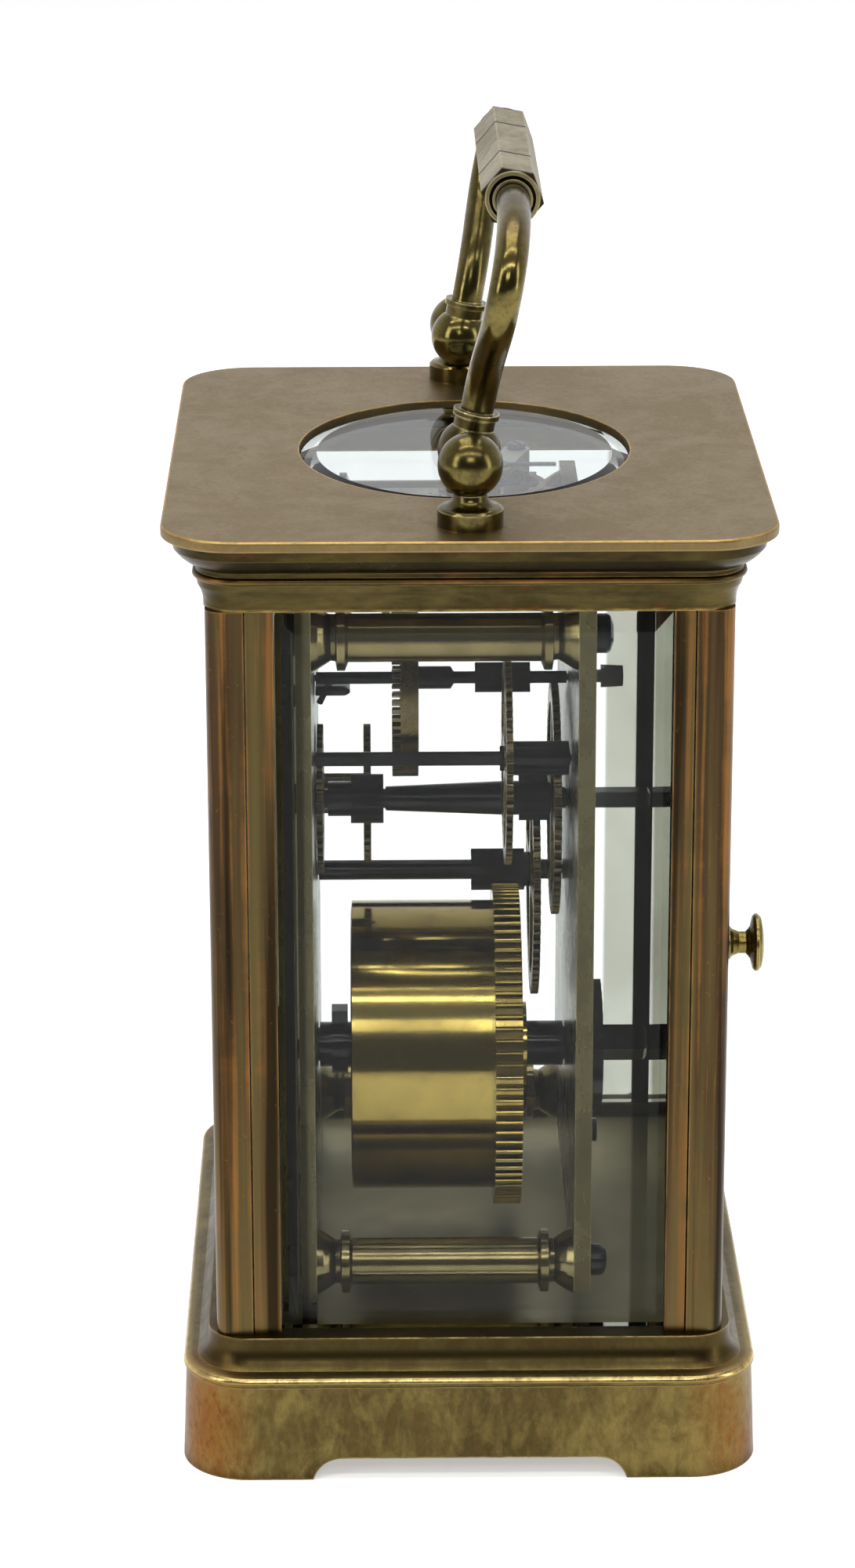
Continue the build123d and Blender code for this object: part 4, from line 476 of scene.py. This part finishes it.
finishes = {
    "case_brass": base_brass("case_brass"),
    "top_brass": aged_brass(
        "top_brass", rgb(127, 110, 75), rgb(108, 91, 60), rgb(118, 90, 56), rgb(232, 184, 104),
        grain=(1.6, 1.6, 1.6), roughness=0.36, tarnish_share=0.5, warm_share=0.25, dirt_and_shade=0.5, wear_and_highlight=1.0,
        lip=0.95),
    "cornice_brass": cornice_brass("cornice_brass"),
    "post_brass": post_finish(
        "post_brass", rgb(66, 51, 34), rgb(132, 90, 46), rgb(90, 78, 46), rgb(104, 90, 56)),
    "strip_brass": post_finish(
        "strip_brass", rgb(76, 64, 40), rgb(124, 84, 46), rgb(86, 76, 46), rgb(104, 86, 54)),
    "handle_brass": aged_brass(
        "handle_brass", rgb(112, 101, 58), rgb(62, 54, 32), rgb(118, 88, 46), rgb(236, 220, 160),
        roughness=0.1, tarnish_share=0.8, warm_share=0.22),
    "knob_brass": aged_brass(
        "knob_brass", rgb(132, 116, 62), rgb(78, 68, 36), rgb(120, 86, 44), rgb(236, 222, 150),
        roughness=0.2),
    "grip_brass": aged_brass(
        "grip_brass", rgb(150, 138, 102), rgb(104, 90, 60), rgb(128, 102, 64), rgb(214, 202, 160),
        roughness=0.28, tarnish_share=0.7, grooves=GRIP_GROOVES),
    "plate_brass": movement_brass(
        "plate_brass", rgb(82, 76, 52), rgb(58, 52, 34), rgb(42, 35, 22), 0.2, grain=UPRIGHT,
        edge_share=0.25),
    "pillar_brass": movement_brass(
        "pillar_brass", rgb(126, 114, 78), rgb(92, 82, 54), rgb(60, 48, 28), 0.1, edge_share=0.3,
        bumps=0.25),
    "barrel_brass": movement_brass(
        "barrel_brass", rgb(160, 140, 76), rgb(126, 106, 54), rgb(80, 60, 30), 0.03, grain=ALONG_DEPTH,
        edge_share=0.3, bumps=0.3),
    "wheel_brass": movement_brass(
        "wheel_brass", rgb(94, 82, 54), rgb(58, 50, 32), rgb(42, 34, 22), 0.2, edge_share=0.25),
    "dark_steel": steel("dark_steel", rgb(40, 41, 40), rgb(22, 23, 23), 0.05),
    "blued_steel": steel("blued_steel", rgb(46, 54, 96), rgb(34, 34, 60), 0.2, spots=rgb(70, 48, 60)),
    "silvered": frosted_silver("silvered"),
    "glass": plate_glass("glass"),
    "bevelled_glass": plate_glass("bevelled_glass", bevelled=True),
    "oval_glass": plate_glass("oval_glass", body=(0.78, 0.82, 0.825, 1.0)),
    "enamel": dial_enamel("enamel"),
    "dial_black": dial_black("dial_black"),
}
OWN_FINISH = {
    "glass_strips": "strip_brass", "door_knob": "knob_brass", "plate_pillars": "pillar_brass",
    "right_side_glass": "bevelled_glass", "left_side_glass": "bevelled_glass", "top_glass": "oval_glass",
}

for node_name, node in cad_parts.items():
    slot_name = OWN_FINISH.get(node_name, node.data.materials[0].name.split(".")[0])
    for index in range(len(node.data.materials)):
        node.data.materials[index] = finishes[slot_name]


# Small pieces added one by one

def pick_faces(piece, test):
    """In edit mode, selects the faces whose middle and direction pass the test, and no others."""
    bpy.ops.mesh.select_mode(type="FACE")
    bpy.ops.mesh.select_all(action="DESELECT")
    bpy.ops.object.mode_set(mode="OBJECT")
    for face in piece.data.polygons:
        face.select = test(face.center, face.normal)
    bpy.ops.object.mode_set(mode="EDIT")


def draw_out(distance):
    """Draws the selected faces out along the clock's depth."""
    bpy.ops.mesh.extrude_region_move(TRANSFORM_OT_translate={"value": (0.0, distance, 0.0)})


def begin(name):
    """Names the new primitive, sets its place into its mesh and opens it for editing."""
    piece = bpy.context.active_object
    piece.name = name
    bpy.ops.object.transform_apply(location=True, rotation=True, scale=True)
    bpy.ops.object.mode_set(mode="EDIT")
    return piece


def finish_piece(piece, finish_name, body="case"):
    """Closes the piece, gives it its finish and smooth turned faces, and sets what it moves with."""
    if piece.mode == "EDIT":
        bpy.ops.mesh.select_all(action="SELECT")
        bpy.ops.mesh.normals_make_consistent(inside=False)
        bpy.ops.object.mode_set(mode="OBJECT")
    piece.data.materials.clear()
    piece.data.materials.append(finishes[finish_name])
    bpy.ops.object.select_all(action="DESELECT")
    piece.select_set(True)
    bpy.ops.object.shade_smooth_by_angle(angle=math.radians(30))
    piece.select_set(False)
    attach(piece, body)


def round_bar(name, middle, radius, length, tilt=0.0, vertices=32):
    """A round bar along the clock's depth, tilted in the plane of its side."""
    turn = (math.radians(90.0) + tilt, 0.0, 0.0)
    bpy.ops.mesh.primitive_cylinder_add(
        vertices=vertices, radius=radius, depth=length, location=middle, rotation=turn)
    return begin(name)


def contrate_end_screw():
    """A stem out of the back plate and a knurled head with a sunk end."""
    head_low = BACK_PLATE_FACE_Y + 2.0 * MM
    head_high = head_low + 2.7 * MM
    screw = round_bar(
        "contrate_end_screw", (0.0, (head_low + head_high) / 2, CONTRATE_Z), 1.4 * MM, head_high - head_low)
    pick_faces(screw, lambda middle, facing: facing.y < -0.9)
    bpy.ops.mesh.inset(thickness=0.6 * MM)
    draw_out(BACK_PLATE_FACE_Y - SUNK - head_low)
    pick_faces(screw, lambda middle, facing: abs(facing.y) < 0.1 and middle.y > head_low)
    bpy.ops.mesh.inset(thickness=0.045 * MM, depth=-0.12 * MM, use_individual=True)
    pick_faces(screw, lambda middle, facing: facing.y > 0.9 and middle.y > head_high - 0.3 * MM)
    bpy.ops.mesh.bevel(offset=0.2 * MM, segments=3)
    pick_faces(screw, lambda middle, facing: facing.y > 0.99 and middle.y > head_high - 0.3 * MM)
    bpy.ops.mesh.inset(thickness=0.35 * MM)
    draw_out(-0.4 * MM)
    finish_piece(screw, "dark_steel")


def flat_bar(name, low, high, rounding):
    """A flat bar between two corners, its edges eased."""
    middle = [(a + b) / 2 for a, b in zip(low, high)]
    size = [b - a for a, b in zip(low, high)]
    bpy.ops.mesh.primitive_cube_add(size=1.0, location=middle, scale=size)
    piece = begin(name)
    bpy.ops.mesh.select_all(action="SELECT")
    bpy.ops.mesh.bevel(offset=rounding, segments=2)
    return piece


def contrate_cock():
    """The thin plate on the back plate that the end screw goes through, with a raised boss."""
    low = (-3.2 * MM, BACK_PLATE_FACE_Y - SUNK, 84.0 * MM)
    high = (3.2 * MM, BACK_PLATE_FACE_Y + 0.7 * MM, 93.2 * MM)
    cock = flat_bar("contrate_cock", low, high, 0.12 * MM)
    pick_faces(cock, lambda middle, facing: facing.y > 0.9)
    bpy.ops.mesh.inset(thickness=0.9 * MM)
    draw_out(0.3 * MM)
    bpy.ops.transform.resize(value=(0.9, 1.0, 0.95))
    finish_piece(cock, "plate_brass")


def contrate_bracket():
    """The small bracket under the contrate arbor's front end, and the slanted pin that holds it."""
    low = (-1.6 * MM, FRONT_PLATE_INNER_Y - 2 * SUNK, 85.5 * MM)
    high = (1.6 * MM, FRONT_PLATE_INNER_Y + 3.6 * MM, 86.35 * MM)
    bracket = flat_bar("contrate_bracket", low, high, 0.12 * MM)
    pick_faces(bracket, lambda middle, facing: facing.y > 0.9)
    draw_out(0.5 * MM)
    bpy.ops.transform.resize(value=(0.7, 1.0, 0.6))
    finish_piece(bracket, "dark_steel")
    pin_middle = Vector((1.55 * MM, FRONT_PLATE_INNER_Y + 1.0 * MM, 85.9 * MM))
    pin = round_bar("bracket_pin", pin_middle, 0.4 * MM, 3.0 * MM, tilt=math.radians(64.0), vertices=16)
    pick_faces(pin, lambda middle, facing: abs(facing.x) < 0.05 and abs(middle.z - pin_middle.z) > 1.1 * MM)
    bpy.ops.mesh.bevel(offset=0.12 * MM, segments=2)
    finish_piece(pin, "dark_steel")


def minute_hand_collet():
    """The stepped collet that holds the minute hand on its square."""
    collet_middle = (0.0, MINUTE_HAND_FACE_Y - 0.15 * MM, DIAL_MIDDLE[2])
    collet = round_bar("minute_hand_collet", collet_middle, 1.5 * MM, 0.34 * MM, vertices=48)
    pick_faces(collet, lambda middle, facing: facing.y < -0.9)
    bpy.ops.mesh.bevel(offset=0.1 * MM, segments=3)
    pick_faces(collet, lambda middle, facing: facing.y < -0.99)
    bpy.ops.mesh.inset(thickness=0.45 * MM)
    draw_out(-0.12 * MM)
    finish_piece(collet, "plate_brass", "centre")


def on_dial(piece, turn=0.0, radius=0.0):
    """Lays a flat mesh, drawn upright, on the dial's face at an angle clockwise from the top."""
    face = Matrix.Translation(DIAL_MIDDLE) @ Matrix.Rotation(math.radians(90.0), 4, "X")
    spot = Matrix.Translation((radius * math.sin(turn), radius * math.cos(turn), 0.0))
    piece.matrix_world = face @ spot @ Matrix.Rotation(-turn, 4, "Z")
    bpy.ops.object.select_all(action="DESELECT")
    piece.select_set(True)
    bpy.context.view_layer.objects.active = piece
    bpy.ops.object.transform_apply(location=True, rotation=True, scale=True)


def dial_numerals():
    """Twelve upright hour figures, their feet to the middle."""
    for index, letters in enumerate(NUMERALS):
        bpy.ops.object.text_add(location=(0.0, 0.0, 0.0))
        figure = bpy.context.active_object
        figure.name = "hour_figure_%02d" % (index + 1)
        figure.data.body = letters
        figure.data.align_x = "CENTER"
        figure.data.align_y = "CENTER"
        figure.data.size = 5.6 * MM
        figure.data.offset = 0.03 * MM
        figure.data.extrude = 0.025 * MM
        figure.data.space_character = 0.9
        bpy.ops.object.convert(target="MESH")
        figure.scale = (0.78, 1.0, 1.0)
        bpy.ops.object.transform_apply(location=True, rotation=True, scale=True)
        on_dial(figure, math.radians(30.0 * (index + 1)), 18.9 * MM)
        finish_piece(figure, "dial_black")


def ring_line(radius, width):
    """A thin flat ring."""
    bpy.ops.mesh.primitive_circle_add(vertices=120, radius=radius, fill_type="NOTHING")
    ring = begin("minute_ring")
    bpy.ops.mesh.select_all(action="SELECT")
    bpy.ops.mesh.extrude_edges_move()
    share = (radius + width) / radius
    bpy.ops.transform.resize(value=(share, share, 1.0))
    bpy.ops.object.mode_set(mode="OBJECT")
    return ring


def ring_of_marks(width, length, middle, count):
    """One mark across the ring, copied evenly all round."""
    bpy.ops.mesh.primitive_plane_add(size=1.0, location=(0.0, middle, 0.0))
    bpy.context.active_object.scale = (width, length, 1.0)
    begin("minute_marks")
    bpy.ops.mesh.select_all(action="SELECT")
    bpy.ops.mesh.spin(
        steps=count, dupli=True, angle=2.0 * math.pi, center=(0.0, 0.0, 0.0), axis=(0.0, 0.0, 1.0))
    bpy.ops.mesh.select_all(action="SELECT")
    bpy.ops.mesh.remove_doubles(threshold=0.001 * MM)
    bpy.ops.object.mode_set(mode="OBJECT")
    return bpy.context.active_object


def minute_track():
    """Two thin rings with sixty marks between them and a heavier one at each hour."""
    parts = [
        ring_line(22.4 * MM, 0.1 * MM),
        ring_line(23.5 * MM, 0.1 * MM),
        ring_of_marks(0.14 * MM, 1.05 * MM, 23.0 * MM, 60),
        ring_of_marks(0.45 * MM, 1.05 * MM, 23.0 * MM, 12),
    ]
    bpy.ops.object.select_all(action="DESELECT")
    for part in parts:
        part.select_set(True)
    track = parts[0]
    bpy.context.view_layer.objects.active = track
    bpy.ops.object.join()
    track.name = "minute_track"
    plate = track.modifiers.new("thickness", "SOLIDIFY")
    plate.thickness = 0.05 * MM
    plate.offset = 0.0
    bpy.ops.object.modifier_apply(modifier=plate.name)
    on_dial(track)
    finish_piece(track, "dial_black")


contrate_end_screw()
contrate_cock()
contrate_bracket()
minute_hand_collet()
dial_numerals()
minute_track()


# Stage: floor, lamps, camera

def look_at(item, target):
    """Turns a lamp towards a point."""
    item.rotation_mode = "QUATERNION"
    item.rotation_quaternion = (Vector(target) - item.location).to_track_quat("-Z", "Y")


def soft_box(name, place, target, width, height, watts):
    """A white soft lamp that faces the clock."""
    lamp = bpy.data.lights.new(name, "AREA")
    lamp.shape = "RECTANGLE"
    lamp.size = width
    lamp.size_y = height
    lamp.energy = watts
    holder = bpy.data.objects.new(name, lamp)
    holder.location = place
    bpy.context.scene.collection.objects.link(holder)
    look_at(holder, target)


middle = (cad_box[0] + cad_box[1]) / 2
soft_box("front_strip", (0.42, 0.0, 0.68), middle, 0.9, 0.04, 1.3)
soft_box("top_strip", (0.1, 0.0, 0.86), middle, 0.9, 0.05, 1.5)
soft_box("broad_top", (-0.3, 0.0, 1.0), middle, 0.8, 0.6, 4.5)
soft_box("left_box", (0.5, -0.75, 0.5), middle, 0.25, 0.7, 2.4)
soft_box("right_box", (0.35, 0.85, 0.35), middle, 0.2, 0.7, 1.6)
for side in (-1, 1):
    soft_box("window_pane", (0.8, side * 0.085, 0.62), middle, 0.13, 0.16, 0.5)

bpy.ops.mesh.primitive_circle_add(vertices=96, radius=4.0, fill_type="NGON")
floor = bpy.context.active_object
floor.name = "floor"
paper = Finish("floor_paper", roughness=0.8)
paper_grain = paper.clouds(paper.place(), 12.0)
paper.set("Base Color", paper.blend(rgb(242, 242, 242), rgb(246, 246, 246), paper_grain))
paper.set("Specular IOR Level", 0.0)
paper.set("Emission Color", (1.0, 1.0, 1.0, 1.0))
paper.set("Emission Strength", 0.42)
floor.data.materials.append(paper.material)

# A pale backdrop behind, a darker room in front and a dim ceiling; the camera sees white through the glass
world = bpy.data.worlds.new("studio")
world.use_nodes = True
bpy.context.scene.world = world
sky = world.node_tree


def sky_node(kind, settings, inputs, output=0):
    made = sky.nodes.new(kind)
    for key, value in settings.items():
        setattr(made, key, value)
    for key, value in inputs.items():
        if isinstance(value, bpy.types.NodeSocket):
            sky.links.new(value, made.inputs[key])
        else:
            made.inputs[key].default_value = value
    return made.outputs[output]


def sky_math(operation, first, second=0.0):
    return sky_node("ShaderNodeMath", {"operation": operation}, {0: first, 1: second})


def sky_span(value, low, high, to_low, to_high):
    inputs = {"Value": value, 1: low, 2: high, 3: to_low, 4: to_high}
    return sky_node("ShaderNodeMapRange", {"interpolation_type": "SMOOTHSTEP"}, inputs)


toward = sky_node("ShaderNodeTexCoord", {}, {}, "Generated")
toward_x = sky_node("ShaderNodeSeparateXYZ", {}, {0: toward}, "X")
toward_z = sky_node("ShaderNodeSeparateXYZ", {}, {0: toward}, "Z")
around = sky_span(toward_x, -0.8, 0.8, 0.95, 0.08)
overhead = sky_span(toward_z, 0.45, 0.9, 0.0, 1.0)
room = sky_node("ShaderNodeMix", {"data_type": "FLOAT"}, {"Factor": overhead, 2: around, 3: 0.35})
camera_ray = sky_node("ShaderNodeLightPath", {}, {}, "Is Camera Ray")
through_glass = sky_node("ShaderNodeLightPath", {}, {}, "Is Transmission Ray")
gloss_depth = sky_node("ShaderNodeLightPath", {}, {}, "Glossy Depth")
straight = sky_math("MULTIPLY", through_glass, sky_math("LESS_THAN", gloss_depth, 0.5))
seen = sky_math("MAXIMUM", camera_ray, straight)
strength = sky_node("ShaderNodeMix", {"data_type": "FLOAT"}, {"Factor": seen, 2: room, 3: 1.0})
sky.nodes["Background"].inputs["Color"].default_value = (1.0, 1.0, 1.0, 1.0)
sky.links.new(strength, sky.nodes["Background"].inputs["Strength"])

# The camera stands where the photo was taken
CAMERA_PLACE = (0.5373, -0.0104, 0.2541)
CAMERA_YAW = -0.01101
CAMERA_DOWN = 0.32423
CAMERA_ROLL = -0.00194
CAMERA_LENS = 106.1
forward = Vector((
    -math.cos(CAMERA_YAW) * math.cos(CAMERA_DOWN),
    -math.sin(CAMERA_YAW) * math.cos(CAMERA_DOWN),
    -math.sin(CAMERA_DOWN),
))
level_right = Vector((-math.sin(CAMERA_YAW), math.cos(CAMERA_YAW), 0.0))
level_up = level_right.cross(forward)
right = level_right * math.cos(CAMERA_ROLL) + level_up * math.sin(CAMERA_ROLL)
up = level_up * math.cos(CAMERA_ROLL) - level_right * math.sin(CAMERA_ROLL)
camera_data = bpy.data.cameras.new("camera")
camera_data.lens = CAMERA_LENS
camera_data.sensor_width = 36.0
camera_data.clip_start = 0.01
camera = bpy.data.objects.new("camera", camera_data)
bpy.context.scene.collection.objects.link(camera)
camera.matrix_world = Matrix.Translation(CAMERA_PLACE) @ Matrix((right, up, -forward)).transposed().to_4x4()
bpy.context.scene.camera = camera
bpy.context.scene.view_settings.view_transform = "Standard"
